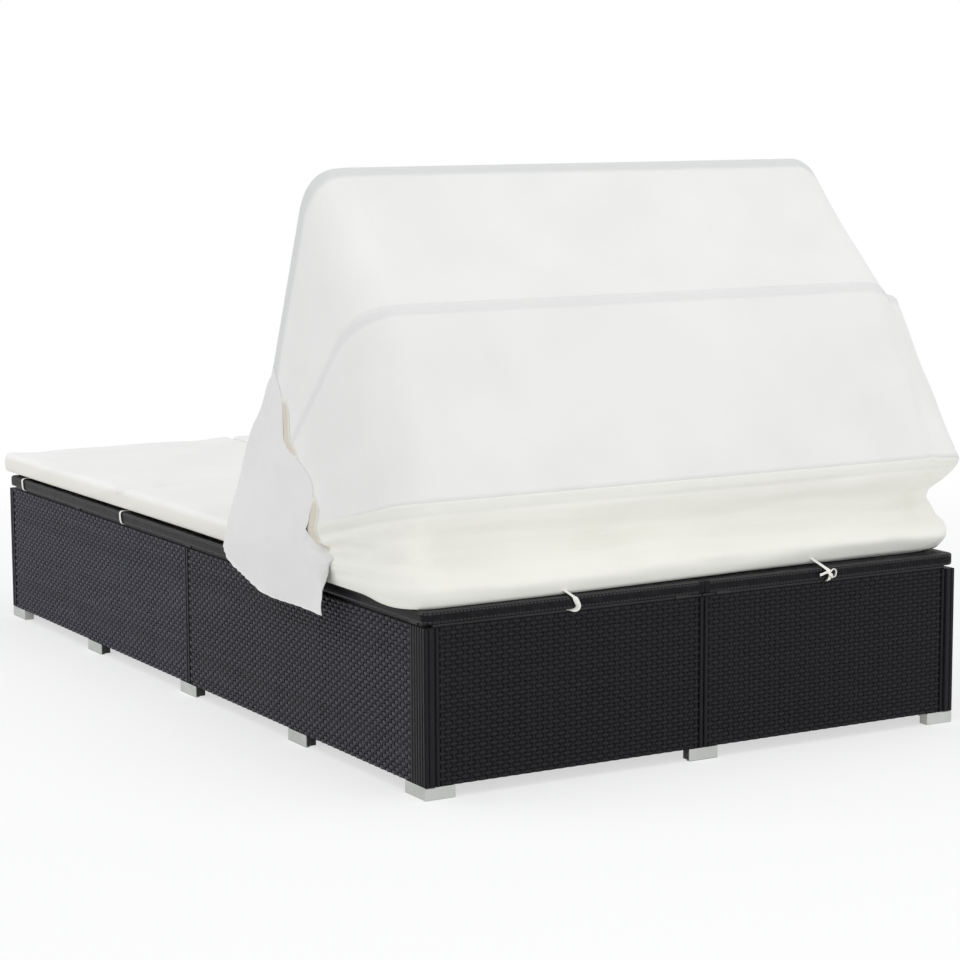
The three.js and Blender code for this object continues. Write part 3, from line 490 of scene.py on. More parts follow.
def rail_wrap(side, sign):
    """Strands wound round the outer rails of one lying frame, as one ridged skin with mitred corners."""
    inset, level, inward, upward = (np.array(RAIL_SKIN) * [MM, MM, 1, 1]).T
    narrow = np.minimum(inset, 24.3 * MM)
    head, foot, face, r = BASE["head"], BASE["foot"], BASE["side"], RAIL_CORNER
    # Each station along the rails: its points in plan, the way out of the rail, and whether that rail is wide.
    parts = []
    for end, way in ((head, 1), (foot, -1)):
        part = [(np.stack([np.full_like(inset, x), end - way * inset], 1), (0, way), True)
                for x in np.arange(0.4 * MM, face - r, RAIL_STEP)]
        for turn in np.radians(np.linspace(80, 10, 5)):
            across = np.where(inset < r, face - r + (r - inset) * math.cos(turn), face - narrow)
            along = np.where(inset < r, end - way * (r - (r - inset) * math.sin(turn)), end - way * inset)
            part.append((np.stack([across, along], 1), (math.cos(turn), way * math.sin(turn)), True))
        parts.append(part)
    side_rail = [(np.stack([face - narrow, np.full_like(inset, y)], 1), (1, 0), False)
                 for y in np.arange(foot + r, head - r, RAIL_STEP)[::-1]]
    place, ways, wide = (np.array(v) for v in zip(*parts[0], *side_rail, *parts[1][::-1]))
    rise = np.where(np.arange(len(place)) % 2, 0.42 * MM, 0.05 * MM)[:, None]
    plan = place - (inward * rise)[..., None] * ways[:, None]
    co = np.concatenate([plan, (level + upward * rise)[..., None]], -1)
    keep = np.ones(np.subtract(co.shape[:2], 1), bool)
    keep[:, :2] = (wide[1:] & wide[:-1])[:, None]
    quads = grid_faces(*co.shape[:2], flip=sign > 0)[keep.ravel()]
    co = co.reshape(-1, 3) * [sign, 1, 1]
    used, index = np.unique(quads, return_inverse=True)
    obj = piece(f"rail_wrap_{side}", co[used], index.reshape(-1, 4).tolist(), "wrap", slot="rail_wicker")
    random = np.random.default_rng(61)
    wear = np.clip(0.45 + 0.55 * ripple(co[used, 0] * 30, co[used, 1] * 30 + co[used, 2] * 90, 62), 0, 1)
    float_attribute(obj, "crest", wear * random.uniform(0.3, 1, len(used)))
    modifier(obj, "SOLIDIFY", thickness=0.4 * MM, offset=-1)


def swept(path, across, outward, section):
    """A closed form: a section of (across, outward) places carried along a path, with a cap at each end."""
    path, section = np.asarray(path, float), np.asarray(section, float)
    across, outward = (np.broadcast_to(v, path.shape) for v in (across, outward))
    co = (path[:, None] + section[None, :, :1] * across[:, None] + section[None, :, 1:] * outward[:, None])
    count = len(section)
    faces = grid_faces(len(path), count, wrap=True).tolist()
    faces.append(list(range(count - 1, -1, -1)))
    faces.append([(len(path) - 1) * count + k for k in range(count)])
    return co.reshape(-1, 3), faces


def joined(parts):
    """Several closed forms as one list of points and faces."""
    points, faces, start = [], [], 0
    for co, quads in parts:
        points.append(co)
        faces += [[start + i for i in face] for face in quads]
        start += len(co)
    return np.concatenate(points), faces


def tidy_normals(obj):
    mesh = bmesh.new()
    mesh.from_mesh(obj.data)
    bmesh.ops.recalc_face_normals(mesh, faces=mesh.faces)
    mesh.to_mesh(obj.data)
    mesh.free()
    return obj


def corner_wraps():
    """Two plain bands over the end of each long side's frame."""
    low, high = BASE["low"] + 0.4 * MM, BASE["top"] - 0.4 * MM
    section = np.array([(-.5, .1), (-.2, .5), (.2, .5), (.5, .1), (.2, -.3), (-.2, -.3)])
    for side, sign in SIDES.items():
        for end, way in (("foot", -1), ("head", 1)):
            parts = []
            for x, width in ((0.5802, 7.4), (0.5702, 12.2)):
                path = [(sign * x, BASE[end] + way * 0.3 * MM, z) for z in np.linspace(low, high, 38)]
                parts.append(swept(path, (sign, 0, 0), (0, way, 0), section * [width * MM, 1.1 * MM]))
            tidy_normals(piece(f"corner_wrap_{side}_{end}", *joined(parts), "stake_end", slot="wicker"))


def rail_seats():
    """Dark bearing strips on the panels' frames, which close the groove under the rails; their dark colour also stands
    in as painted shade for the base's shaded inside.
    """
    section = np.array([(-5.5, 0), (5.5, 0), (5.5, 3.6), (4, 5.2), (-4, 5.2), (-5.5, 3.6)]) * MM
    level = BASE["top"] + 0.25 * MM
    up = (0, 0, 1)
    for side, sign in SIDES.items():
        x = sign * (BASE["side"] - 13 * MM)
        path = [(x, y, level) for y in np.linspace(BASE["foot"] + 22 * MM, BASE["head"] - 22 * MM, 40)]
        parts = [swept(path, (1, 0, 0), up, section)]
        for y in (BASE["foot"] + 13 * MM, BASE["head"] - 13 * MM):
            path = [(sign * q, y, level) for q in np.linspace(1 * MM, BASE["side"] - 21 * MM, 16)]
            parts.append(swept(path, (0, 1, 0), up, section))
        tidy_normals(piece(f"rail_seat_{side}", *joined(parts), "core", slot="rail_wicker", smooth=False))


for side, sign in SIDES.items():
    rail_wrap(side, sign)
corner_wraps()
rail_seats()


# Feet
def slab(corners, bevel):
    """A block between two corners with rounded edges, as points and faces."""
    low, high = corners
    mesh = bmesh.new()
    bmesh.ops.create_cube(mesh, size=1)
    for vert in mesh.verts:
        vert.co = (low + high) / 2 + np.array(vert.co) * (high - low)
    bmesh.ops.bevel(mesh, geom=mesh.edges[:], offset=bevel, segments=2, affect="EDGES", profile=0.5)
    mesh.verts.index_update()
    co = np.array([v.co[:] for v in mesh.verts])
    faces = [[v.index for v in face.verts] for face in mesh.faces]
    mesh.free()
    return co, faces


def middle_feet():
    """The feet between the corners: a dark block with a bare metal plate folded over its outer face."""
    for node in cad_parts:
        if not node.startswith(("foot_side", "foot_end")):
            continue
        box = np.array(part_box(node))
        across, along = (0, 1) if node.startswith("foot_side") else (1, 0)
        # The corner on the outer face is the high one on the sides that face +X and +Y.
        outer, way = (1, 1) if box[:, across].sum() > 0 else (0, -1)
        block, plate, lip = box.copy(), box.copy(), box.copy()
        block[outer, across] -= way * 2.6 * MM
        plate[1 - outer, across] = box[outer, across] - way * 2.4 * MM
        lip[1 - outer, across] = box[outer, across] - way * 9 * MM
        block[0, 2] += 1.8 * MM
        block[:, along] += [0.6 * MM, -0.6 * MM]
        lip[1, 2] = box[0, 2] + 1.6 * MM
        obj = piece(node + "_plate", *joined([slab(plate, 0.7 * MM), slab(lip, 0.5 * MM)]), "foot", slot="foot_cap")
        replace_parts(obj, node)
        modifier(obj, "WEIGHTED_NORMAL")
        piece(node + "_block", *slab(block, 1 * MM), "core", slot="foot_cap")


middle_feet()


# Ties
def spline(points, t):
    """A uniform Catmull-Rom curve through points."""
    p = np.asarray(points, float)
    place = np.clip(t, 0, 1) * (len(p) - 1)
    i = np.minimum(place.astype(int), len(p) - 2)
    f = (place - i)[:, None]
    p0, p1, p2, p3 = (p[np.clip(i + k, 0, len(p) - 1)] for k in (-1, 0, 1, 2))
    v0, v1 = (p2 - p0) / 2, (p3 - p1) / 2
    return (2 * p1 - 2 * p2 + v0 + v1) * f**3 + (-3 * p1 + 3 * p2 - 2 * v0 - v1) * f**2 + v0 * f + p1


def tape(node, runs):
    """Cotton tape along smooth paths, each given as its points, its width's direction and its size in mm."""
    parts = []
    for points, flat, width, thick in runs:
        t = np.linspace(0, 1, 10 * len(points))
        path = spline(np.array(points) * MM, t)
        flat = spline(np.broadcast_to(flat, (len(points), 3)), t)
        ahead = unit(np.gradient(path, axis=0))
        flat = unit(flat - ahead * np.sum(flat * ahead, 1, keepdims=True))
        turn = np.linspace(0, math.tau, 10, endpoint=False)
        section = np.stack([np.cos(turn) * width / 2, np.sin(turn) * thick / 2 * (0.6 + 0.4 * abs(np.sin(turn)))], 1)
        parts.append(swept(path, flat, np.cross(ahead, flat), section * MM))
    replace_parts(tidy_normals(piece(node + "_tape", *joined(parts), "tape", slot="tie_tape")), node)


def make_ties():
    for side, sign in SIDES.items():
        for number in (1, 2):
            node = f"tie_side_{side}_{number}"
            low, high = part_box(node)
            y = (low[1] + high[1]) / 2 / MM
            path = [(552, 0, 334.2), (570, 0, 334.6), (581, 0, 335), (586, 1, 331), (586.6, 2.5, 322), (586.2, 5, 313),
                    (583, 7, 308.4), (574, 8.5, 307.9), (562, 9, 308.2), (557.6, 9, 311), (557.4, 9, 320)]
            points = [(sign * x, y - 4 + dy, z) for x, dy, z in path]
            tape(node, [(points, (0, 1, 0), 9, 1.5)])
    # The head end's ties: one only hooks under the rail, the other is knotted with a loop and a free end.
    hook = [(292, 972, 352), (291, 992, 344), (287, 1012, 337.5), (282, 1023.2, 331), (277, 1025.4, 322),
            (274.5, 1025.2, 314), (278, 1022, 308.8), (286, 1014, 307.4), (293, 1006, 307.6)]
    twist = [(1, 0, 0), (1, 0, .1), (1, -.1, .2), (.9, -.2, .4), (.8, -.3, .5), (.7, -.5, .5), (.5, -.8, .3),
             (.3, -1, 0), (.3, -1, 0)]
    tape("tie_head_right", [(hook, twist, 9.5, 2.6)])
    lead = [(-262, 972, 353), (-264, 996, 345), (-268, 1014, 338), (-274, 1024, 331), (-280, 1026, 325)]
    loop = [(-280, 1027, 324), (-287, 1028, 330), (-293, 1028, 326), (-292, 1027.5, 317), (-285, 1027, 314),
            (-280, 1027, 319), (-279, 1027, 325)]
    stub = [(-281, 1027, 322), (-272, 1028.5, 325), (-263, 1028, 322.5), (-257, 1027, 321)]
    tail = [(-281, 1027, 322), (-279, 1028, 314), (-277, 1025.5, 309.6), (-280, 1017, 307.2), (-284, 1008, 307.2)]
    wrap = [(-277, 1026, 326), (-276.5, 1030, 322.5), (-279, 1031, 318.5), (-283, 1029.5, 318), (-285, 1026, 321)]
    tape("tie_head_left", [(lead, (1, 0, 0), 8, 2.2), (loop, (0, 1, 0.2), 5.5, 2.2), (stub, (0.4, 0.3, 1), 6, 2),
                           (tail, (1, 0, 0), 7, 2), (wrap, (1, 0, 0.8), 6, 2.4)])


# Hood geometry
PIVOT = np.array([0, 0.306, 0.350])
TUBE = 8 * MM
# Each bow's angle in degrees, its reach from the pivot, its half width at the pivot and at the bar, and the
# radius of its corners.
BOWS = {
    "front": {"angle": 68, "reach": 0.7755, "leg": 0.567, "half": 0.5675, "corner": 0.070},
    "middle": {"angle": 43.9, "reach": 0.698, "leg": 0.585, "half": 0.5955, "corner": 0.075},
    "rear": {"angle": 13.4, "reach": 0.6825, "leg": 0.603, "half": 0.6065, "corner": 0.062},
    "hem": {"angle": 0, "reach": 0.669, "leg": 0.580, "half": 0.580, "corner": 0.062},
}
# The body that carries each bow, from the lowest up.
BODIES = {"hem": "root", "rear": "rear_bow", "middle": "middle_bow", "front": "front_bow"}
# The level at which the hem's bow lies on the lying frames.
HEM_LEVEL = 0.333 + GAP + TUBE
COUNTS = {"leg": 40, "bend": 16, "bar": 34}


def hoop(name, start):
    """Points along a bow from its right leg over the bar to its left leg, and the way out of the hoop."""
    bow = BOWS[name]
    reach, half, corner = bow["reach"], bow["half"], bow["corner"]
    t = np.arange(COUNTS["leg"]) / COUNTS["leg"]
    out = start + (reach - corner - start) * t
    turn = np.linspace(0, np.pi / 2, COUNTS["bend"] + 1)
    bar = 1 - np.arange(1, COUNTS["bar"] + 1) / COUNTS["bar"]
    # Rows of: the place across and up the hoop, and the way out of it across and up.
    leg = [bow["leg"] + (half - bow["leg"]) * out / (reach - corner), out, 0 * t + 1, 0 * t]
    bend = [half - corner * (1 - np.cos(turn)), reach - corner + corner * np.sin(turn), np.cos(turn), np.sin(turn)]
    top = [(half - corner) * bar, 0 * bar + reach, 0 * bar, 0 * bar + 1]
    right = np.concatenate([leg, bend, top], 1).T
    both = np.concatenate([right, right[-2::-1] * [-1, 1, -1, 1]])
    angle = math.radians(bow["angle"])
    raised = np.array([[1, 0, 0], [0, math.cos(angle), math.sin(angle)]])
    origin = PIVOT if name != "hem" else np.array([0, PIVOT[1], HEM_LEVEL])
    return both[:, :2] @ raised + origin, both[:, 2:] @ raised


def arch(s):
    return 4 * s * (1 - s)


def bend_between(obj, lower, upper, low=None):
    """Blends a piece across one bow's joint, by each point's angle about the pivot line."""
    low, high = BOWS[lower]["angle"] if low is None else low, BOWS[upper]["angle"]
    ends = [tuple(PIVOT + 0.5 * np.array([0, math.cos(a), math.sin(a)])) for a in np.radians([low, high])]
    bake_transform(obj, BODIES[lower], BODIES[upper], start=ends[0], end=ends[1])
    co = np.array([v.co for v in obj.data.vertices]) - PIVOT
    angle = np.degrees(np.arctan2(co[:, 2], co[:, 1]))
    float_attribute(obj, "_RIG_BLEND", np.clip((angle - low) / (high - low), 0, 1))


def hem_flare(middle, outward):
    """The hem hangs past its bow, furthest at the right rear corner, and is drawn up at the left."""
    right = smoothstep(middle[:, 0], -0.5, 0.5)
    rear = smoothstep(middle[:, 1], 0.80, 0.93)
    turned = 4 * outward[:, 0] ** 2 * outward[:, 1] ** 2
    flare = outward * ((4 + 16 * right * rear + 13 * turned * right * rear) * MM)[:, None]
    flare[:, 2] += 5 * MM * (1 - right) * rear
    return flare


# How far the cloth stands off a bow, in mm: over its bar, down its right leg and down its left leg, with the
# distances from the pivot over which a leg's share comes in, and how much more at its right corner. An end is
# the tier that passes under a sleeve.
EASE = {
    "front": (3, 9.5, 0, 0.26, 0.40, 6), "middle": (3, 1, 31, 0.40, 0.56, 0), "rear": (3, 1, 43, 0.40, 0.56, 0),
    "middle_end": (0, 0, 0, 0.40, 0.56, 0), "rear_end": (3, 1, 43, 0.40, 0.56, 0),
    "hem_end": (0, 0, 4, 0.40, 0.56, 0),
}


def eased(name, middle, way):
    """How far each point of a bow's cloth is moved out of the hoop."""
    bar, right, left, start, end, corner = EASE[name]
    to_right = smoothstep(way[:, 0], 0.1, 0.75)
    to_left = smoothstep(-way[:, 0], 0.82 if name == "middle" else 0.3, 1.0)
    over = (1 - to_right) * (1 - smoothstep(-way[:, 0], 0, 0.5))
    leg = smoothstep(np.hypot(middle[:, 1] - PIVOT[1], middle[:, 2] - PIVOT[2]), start, end)
    turn = 4 * np.clip(way[:, 0], 0, 1) ** 2 * (1 - way[:, 0] ** 2)
    return (bar * over + (right * to_right + left * to_left) * leg + corner * turn) * MM


# Each tier: its upper and lower bow, how far its middle stands out in mm and how deep it dips, the share of that
# on its legs, its sleeve's radius in mm and the strength of the painted shade on it, its ripples (their rates along
# and down, seed and size in mm), and the length of cloth below which they fade.
TIERS = {
    "hood_front_tier": ("front", "middle", -12, 0, 0.0, 9.3, 0.9, ((2.2, 0.7, 11, 1.6), (7, 0.5, 12, 0.5)), 0.15),
    "hood_rear_tier": ("middle", "rear", 7, 0, 0.0, 9.9, 0.4, ((2.0, 1.2, 21, 1.8),), 0.15),
    "hood_low_tier": ("rear", "hem", 12, 52, 0.35, 9.9, 0.3, ((1.6, 3.0, 31, 3.2), (4.5, 5.5, 32, 1.1)), 0.1),
}
TIER_SHEETS = []
# A tier's rows: those about its sleeve's seam, as shares of the way there, and those down the rest.
SEAM_ROWS = (0, 0.25, 0.5, 0.72, 0.86, 1.0, 1.14, 1.35, 1.7)
BODY_ROWS = np.linspace(0, 1, 28)[1:]


def tier_points(upper, lower, stand, dip, leg_share, radius, sleeve_painted_shade, ripples, short):
    """Rows of points for one tier: a sleeve round the upper bow, then the cloth down to the next."""
    hemmed = lower == "hem"
    a_mid, a_out = hoop(upper, 0.075)
    b_mid, b_out = hoop(lower, 0.085 if hemmed else 0.075)
    a_ease = a_out * eased(upper, a_mid, a_out)[:, None]
    b_ease = b_out * eased(lower + "_end", b_mid, b_out)[:, None]
    length = np.linalg.norm(b_mid - a_mid, axis=1)
    line = unit(b_mid - a_mid)
    outward = a_out + b_out
    outward = unit(outward - line * np.sum(outward * line, 1, keepdims=True))
    scale = (length / length[len(length) // 2]) * (1 + (leg_share - 1) * np.abs(outward[:, 0]))
    start = a_mid + outward * radius * MM + a_ease
    end = b_mid + (b_out * 9.4 if hemmed else outward * 8.7) * MM + b_ease
    corner = 0
    if hemmed:
        end = end - [0, 0, 7 * MM] + hem_flare(b_mid, b_out)
        scale = scale * smoothstep(length, 0.085, 0.14)
        corner = smoothstep(-b_mid[:, 0], 0.44, 0.57) * smoothstep(b_mid[:, 1], 0.78, 0.92)
    arc = np.concatenate([[0], np.cumsum(np.linalg.norm(np.diff(a_mid, axis=0), axis=1))])
    # Each row also carries its painted shade: the sleeve's strength on the sleeve, fading out past its seam.
    rows, painted_shadings = [], []
    for turn in np.radians(np.linspace(215, 0, 10)[:-1]):
        sleeve = a_mid + radius * MM * (outward * math.cos(turn) - line * math.sin(turn))
        rows.append(sleeve + a_ease * max(math.cos(turn), 0) ** 0.7)
        painted_shadings.append(np.full(len(arc), sleeve_painted_shade))
    # Down the legs of the front bow the sleeve's seam lies further in.
    wide = 15 * MM + (13 * MM * np.abs(a_out[:, 0]) ** 2 if upper == "front" else 0)
    seam = np.minimum(wide / length, 0.25)
    past_seam = SEAM_ROWS[-1] * seam
    for share in [seam * q for q in SEAM_ROWS] + [past_seam + (1 - past_seam) * q for q in BODY_ROWS]:
        distance = share * length
        beyond = (share - seam) * length
        lift = arch(share) * (stand - dip * np.exp(-((share - 0.45) / 0.28) ** 2)) * scale
        lift = lift + 0.5 * (1 - smoothstep(share, 0.6 * seam, 1.1 * seam))
        lift = lift - 0.45 * np.exp(-(beyond / (2.6 * MM)) ** 2)
        lift = lift - 25 * corner * np.exp(-((share - 0.43) / np.where(share < 0.43, 0.27, 0.17)) ** 2)
        lift = lift + 17 * corner * np.exp(-((share - 0.86) / 0.15) ** 2)
        pucker = np.exp(-np.abs(beyond) / (16 * MM)) * np.sin(arc / (9 * MM) + 2.4 * ripple(arc * 6, share, 3))
        lift = lift + 0.4 * pucker * np.minimum(1, distance / (6 * MM)) * smoothstep(length, 0.06, 0.15)
        folds = sum(ripple(arc * rate, share * down, seed) * size for rate, down, seed, size in ripples)
        lift = lift + folds * arch(share) * np.minimum(1, length / short)
        rows.append(start + (end - start) * share[:, None] + outward * lift[:, None] * MM)
        painted_shadings.append(np.clip(1 - smoothstep(share, 0.6 * seam, 1.4 * seam), 0, 1) * sleeve_painted_shade)
    return np.array(rows), np.array(painted_shadings)


def sheet_piece(name, rows, painted_shadings, look, thickness):
    faces = grid_faces(*rows.shape[:2]).tolist()
    obj = piece(name, rows.reshape(-1, 3), faces, look, body=None, slot="hood_cloth")
    float_attribute(obj, "painted_shading", painted_shadings)
    modifier(obj, "SOLIDIFY", thickness=thickness, offset=0)
    return obj


def make_tiers():
    for name, (upper, lower, *form) in TIERS.items():
        rows, painted_shadings = tier_points(upper, lower, *form)
        hemmed = lower == "hem"
        if hemmed:
            # The turned hem takes painted shade, deeper towards the left, and ends in an unshaded pale edge.
            to_left = 0.25 + 0.75 * smoothstep(-rows[-1, :, 0], -0.1, 0.5)
            painted_shadings[-6:] = np.array([0.15, 0.6, 0.8, 0.8, 0.7, 0.0])[:, None] * to_left
        TIER_SHEETS.append(rows)
        obj = sheet_piece(name + "_cloth", rows, painted_shadings, "hood_low" if hemmed else "hood", 1 * MM)
        bend_between(obj, lower, upper)
        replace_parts(obj, name)


make_tiers()


# Side flaps
# A flap's edges from the pivot, in mm along and up: down its front, along its foot and up its rear, and its
# upper edge, which leaves two openings along the bows.
FLAP_FRONT = [(144, 364), (129, 340), (109, 315), (89, 290), (64, 262), (39, 237), (21, 210), (4, 172), (-5, 127),
              (-9, 84), (-8, 42), (-16, -2)]
FLAP_FOOT = [(-16, -2), (19, -27), (60, -42), (128, -62), (213, -69), (319, -69), (405, -69)]
FLAP_REAR = [(387, 2), (394, -14), (402, -28), (401, -46), (405, -69)]
FLAP_TOP = [(144, 364), (163, 336), (182, 308), (190, 280), (196, 250), (203, 226), (232, 214), (287, 197),
            (322, 178), (342, 158), (350, 133), (341, 106), (336, 78), (350, 60), (379, 50), (408, 36), (396, 20),
            (387, 2)]
FLAP = {"clear": 2.6 * MM, "fold": 5 * MM, "lie": 0.56 * MM, "thick": 1.0 * MM}
# The outer end of a domed nut.
NUT_END = 0.6113 + 7.5 * MM
REAR, MIDDLE, FRONT = (BOWS[name]["angle"] for name in ("rear", "middle", "front"))


def flap_side(y, z):
    """How far out a flap hangs at a place relative to the pivot, just outside the tiers and the nut."""
    out = np.hypot(y, z)
    turn = np.degrees(np.arctan2(z, y))

    def face(name):
        bow = BOWS[name]
        splay = (bow["half"] - bow["leg"]) * np.minimum(out / (bow["reach"] - bow["corner"]), 1)
        return bow["leg"] + splay + TUBE + GAP + 2 * MM + FLAP["clear"]

    top = np.clip((turn - MIDDLE) / (FRONT - MIDDLE), 0, 1)
    low = np.clip((turn - REAR) / (MIDDLE - REAR), 0, 1)
    outside = face("rear") + (face("middle") - face("rear")) * low
    outside = outside + (face("front") - outside) * top + 9.5 * MM * smoothstep(out, 0.26, 0.40) * top ** 2
    outside = outside - 6 * MM * smoothstep(-y, 0, 0.08)
    nut = np.maximum(NUT_END + FLAP["clear"], outside)
    return outside + (nut - outside) * np.exp(-(out / 0.11) ** 2) + 1 * MM


# The tiers' sheets as one search tree, for the pieces that lie on them.
TIER_POINTS, TIER_FACES = joined([(rows.reshape(-1, 3), grid_faces(*rows.shape[:2])) for rows in TIER_SHEETS])
TIER_TREE = BVHTree.FromPolygons(TIER_POINTS.tolist(), TIER_FACES)


def tier_side(y, z, sign):
    """How far out the tiers' cloth is at places relative to the pivot, by rays, and where there is any."""
    out = flap_side(y, z) - FLAP["clear"] - 1 * MM
    met = np.zeros(y.shape, bool)
    for place in np.ndindex(y.shape):
        start = Vector((sign * 1.2, PIVOT[1] + y[place], PIVOT[2] + z[place]))
        hit = TIER_TREE.ray_cast(start, Vector((-sign, 0, 0)), 0.8)[0]
        if hit is not None:
            out[place] = abs(hit.x)
            met[place] = True
    return out, met


def flap_rows(sign):
    """Rows of points from a flap's upper edge down to its foot, between its front and its rear."""
    s = np.linspace(0, 1, 86)
    t = np.concatenate([[0, 0.01], np.linspace(0.028, 0.97, 32), [0.99, 1]])
    top, foot = (spline(edge, s)[None] * MM for edge in (FLAP_TOP, FLAP_FOOT))
    front, rear = (spline(edge, t)[:, None] * MM for edge in (FLAP_FRONT, FLAP_REAR))
    s, t = s[None, :, None], t[:, None, None]
    corners = ((1 - s) * (1 - t) * top[:, :1] + s * (1 - t) * top[:, -1:]
               + (1 - s) * t * foot[:, :1] + s * t * foot[:, -1:])
    place = (1 - t) * top + t * foot + (1 - s) * front + s * rear - corners
    y, z = place[..., 0], place[..., 1]
    s, t = s[..., 0], t[..., 0]
    pleat = FLAP["fold"] * t ** 1.5 * np.sin(np.pi * 2.5 * s) ** 2
    edge = 1.1 * MM * np.exp(-((1 - t) / 0.03) ** 2) * np.sin(s * 95 + 3 * np.sin(s * 17))
    hang = flap_side(y, z) + pleat + edge + 1.2 * MM * ripple(s * 2.2, t * 1.6, 41)
    # The upper edge lies on the tiers, but for the two openings, where it stands off a little.
    cloth, met = tier_side(y, z, sign)
    for row in range(1, len(cloth)):
        cloth[row] = np.where(met[row], cloth[row], cloth[row - 1])
    thick = FLAP["thick"] * (0.3 + 0.7 * smoothstep(t, 0.0, 0.03))
    slit = 0.9 * MM * np.exp(-((s - 0.24) / 0.07) ** 2) + 0.9 * MM * np.exp(-((s - 0.68) / 0.07) ** 2)
    slit = slit + 2.6 * MM * np.exp(-((s - 0.70) / 0.014) ** 2)
    least = cloth + FLAP["lie"] + thick / 2 + slit * np.exp(-(t / 0.05) ** 2)
    held = 1 - smoothstep(t, 0.0, 0.16)
    at_rear = smoothstep(s, 0.80, 0.92) * (1 - t) ** 1.6
    # Its rear corner hangs clear of the cloth.
    held, at_rear = (weight * (1 - 0.9 * smoothstep(s, 0.935, 1.0)) for weight in (held, at_rear))
    x = hang + (least - hang) * np.maximum(held, at_rear)
    x = np.where(met, np.maximum(x, least), x)
    return np.stack([sign * x, PIVOT[1] + y, PIVOT[2] + z], -1), np.broadcast_to(thick, x.shape)[..., None]


def two_sided(rows, thickness):
    """A sheet's two faces and its rims as one closed form, from the middle's points."""
    n, m = rows.shape[:2]
    normal = unit(np.cross(np.gradient(rows, axis=1), np.gradient(rows, axis=0)))
    normal = normal * np.sign(np.mean(normal[..., 0]) * np.mean(rows[..., 0]))
    co = np.concatenate([(rows + way * normal * thickness / 2).reshape(-1, 3) for way in (1, -1)])
    index = rim_of(n, m)
    following = np.roll(index, -1)
    edge = np.stack([following, index, index + n * m, following + n * m], -1)
    faces = np.concatenate([grid_faces(n, m), grid_faces(n, m, flip=True, start=n * m), edge])
    return co, faces.tolist(), np.concatenate([normal.reshape(-1, 3), -normal.reshape(-1, 3)])


def share_normals(obj, points, normals):
    """Gives a cut piece the whole sheet's normals, so that its cuts don't show as lines."""
    tree = KDTree(len(points))
    for index, point in enumerate(points):
        tree.insert(point, index)
    tree.balance()
    found = []
    for vert in obj.data.vertices:
        near = tree.find_n(vert.co, 4)
        first = normals[near[0][1]]
        total = np.zeros(3)
        for _, index, distance in near:
            if np.dot(normals[index], first) > 0:
                total = total + normals[index] / (distance + 1e-5)
        found.append(unit(total))
    obj.data.normals_split_custom_set_from_vertices(np.array(found).tolist())


def cut_by_angle(obj, angle, keep_above):
    """Cuts a mesh along the plane through the pivot line at an angle, and keeps one side."""
    a = math.radians(angle)
    normal = Vector((0, -math.sin(a), math.cos(a)))
    mesh = bmesh.new()
    mesh.from_mesh(obj.data)
    geometry = mesh.verts[:] + mesh.edges[:] + mesh.faces[:]
    cut = bmesh.ops.bisect_plane(mesh, geom=geometry, plane_co=PIVOT, plane_no=normal, dist=1e-6,
                                 clear_inner=keep_above, clear_outer=not keep_above)["geom_cut"]
    edges = [e for e in cut if isinstance(e, bmesh.types.BMEdge)]
    # The cut is closed by flat faces, which leave the smooth shading on either side of it alone.
    for face in bmesh.ops.holes_fill(mesh, edges=edges, sides=0)["faces"]:
        face.smooth = False
    mesh.to_mesh(obj.data)
    mesh.free()


def make_flaps():
    # A sector's name, the bows that it bends between, and the angle at which its lower body takes over.
    sectors = (("upper", "middle", "front", None), ("rear", "rear", "middle", None), ("skirt", "hem", "rear", -25))
    for side, sign in SIDES.items():
        rows, thick = flap_rows(sign)
        # The whole flap takes painted shade, as cloth that hangs sideways to the light; its last two rows, at the foot,
        # stay unshaded.
        painted_shadings = np.full(rows.shape[:2], 0.34)
        painted_shadings[-2:] = 0.0
        points, faces, normals = two_sided(rows, thick)
        for name, lower, upper, low in sectors:
            obj = piece(f"hood_flap_{side}_{name}", points, faces, "hood", body=None, slot="hood_cloth")
            float_attribute(obj, "painted_shading", np.tile(painted_shadings.ravel(), 2))
            tidy_normals(obj)
            for angle in (REAR, MIDDLE):
                if angle <= BOWS[lower]["angle"]:
                    cut_by_angle(obj, angle, True)
            if upper != "front":
                cut_by_angle(obj, BOWS[upper]["angle"], False)
            bend_between(obj, lower, upper, low)
            share_normals(obj, points, normals)
            if name == "upper":
                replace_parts(obj, f"hood_flap_{side}")


make_flaps()
make_ties()

# The lining that shows in the openings above a flap, in mm from the pivot: its front and its rear edge, and
# the bow that it crosses. Its tan is painted shade for the hood's shaded inside, laid as a patch on the tier.
LININGS = {
    "front": ([(184, 305), (180, 280), (184, 250), (192, 224), (222, 210), (272, 197)],
              [(212, 300), (226, 276), (231, 250), (236, 236), (254, 224), (284, 204)], "middle"),
    "rear": ([(352, 142), (336, 108), (329, 76), (346, 54), (368, 47), (392, 38)],
             [(360, 140), (378, 118), (373, 92), (374, 70), (387, 57), (401, 45)], "rear"),
}


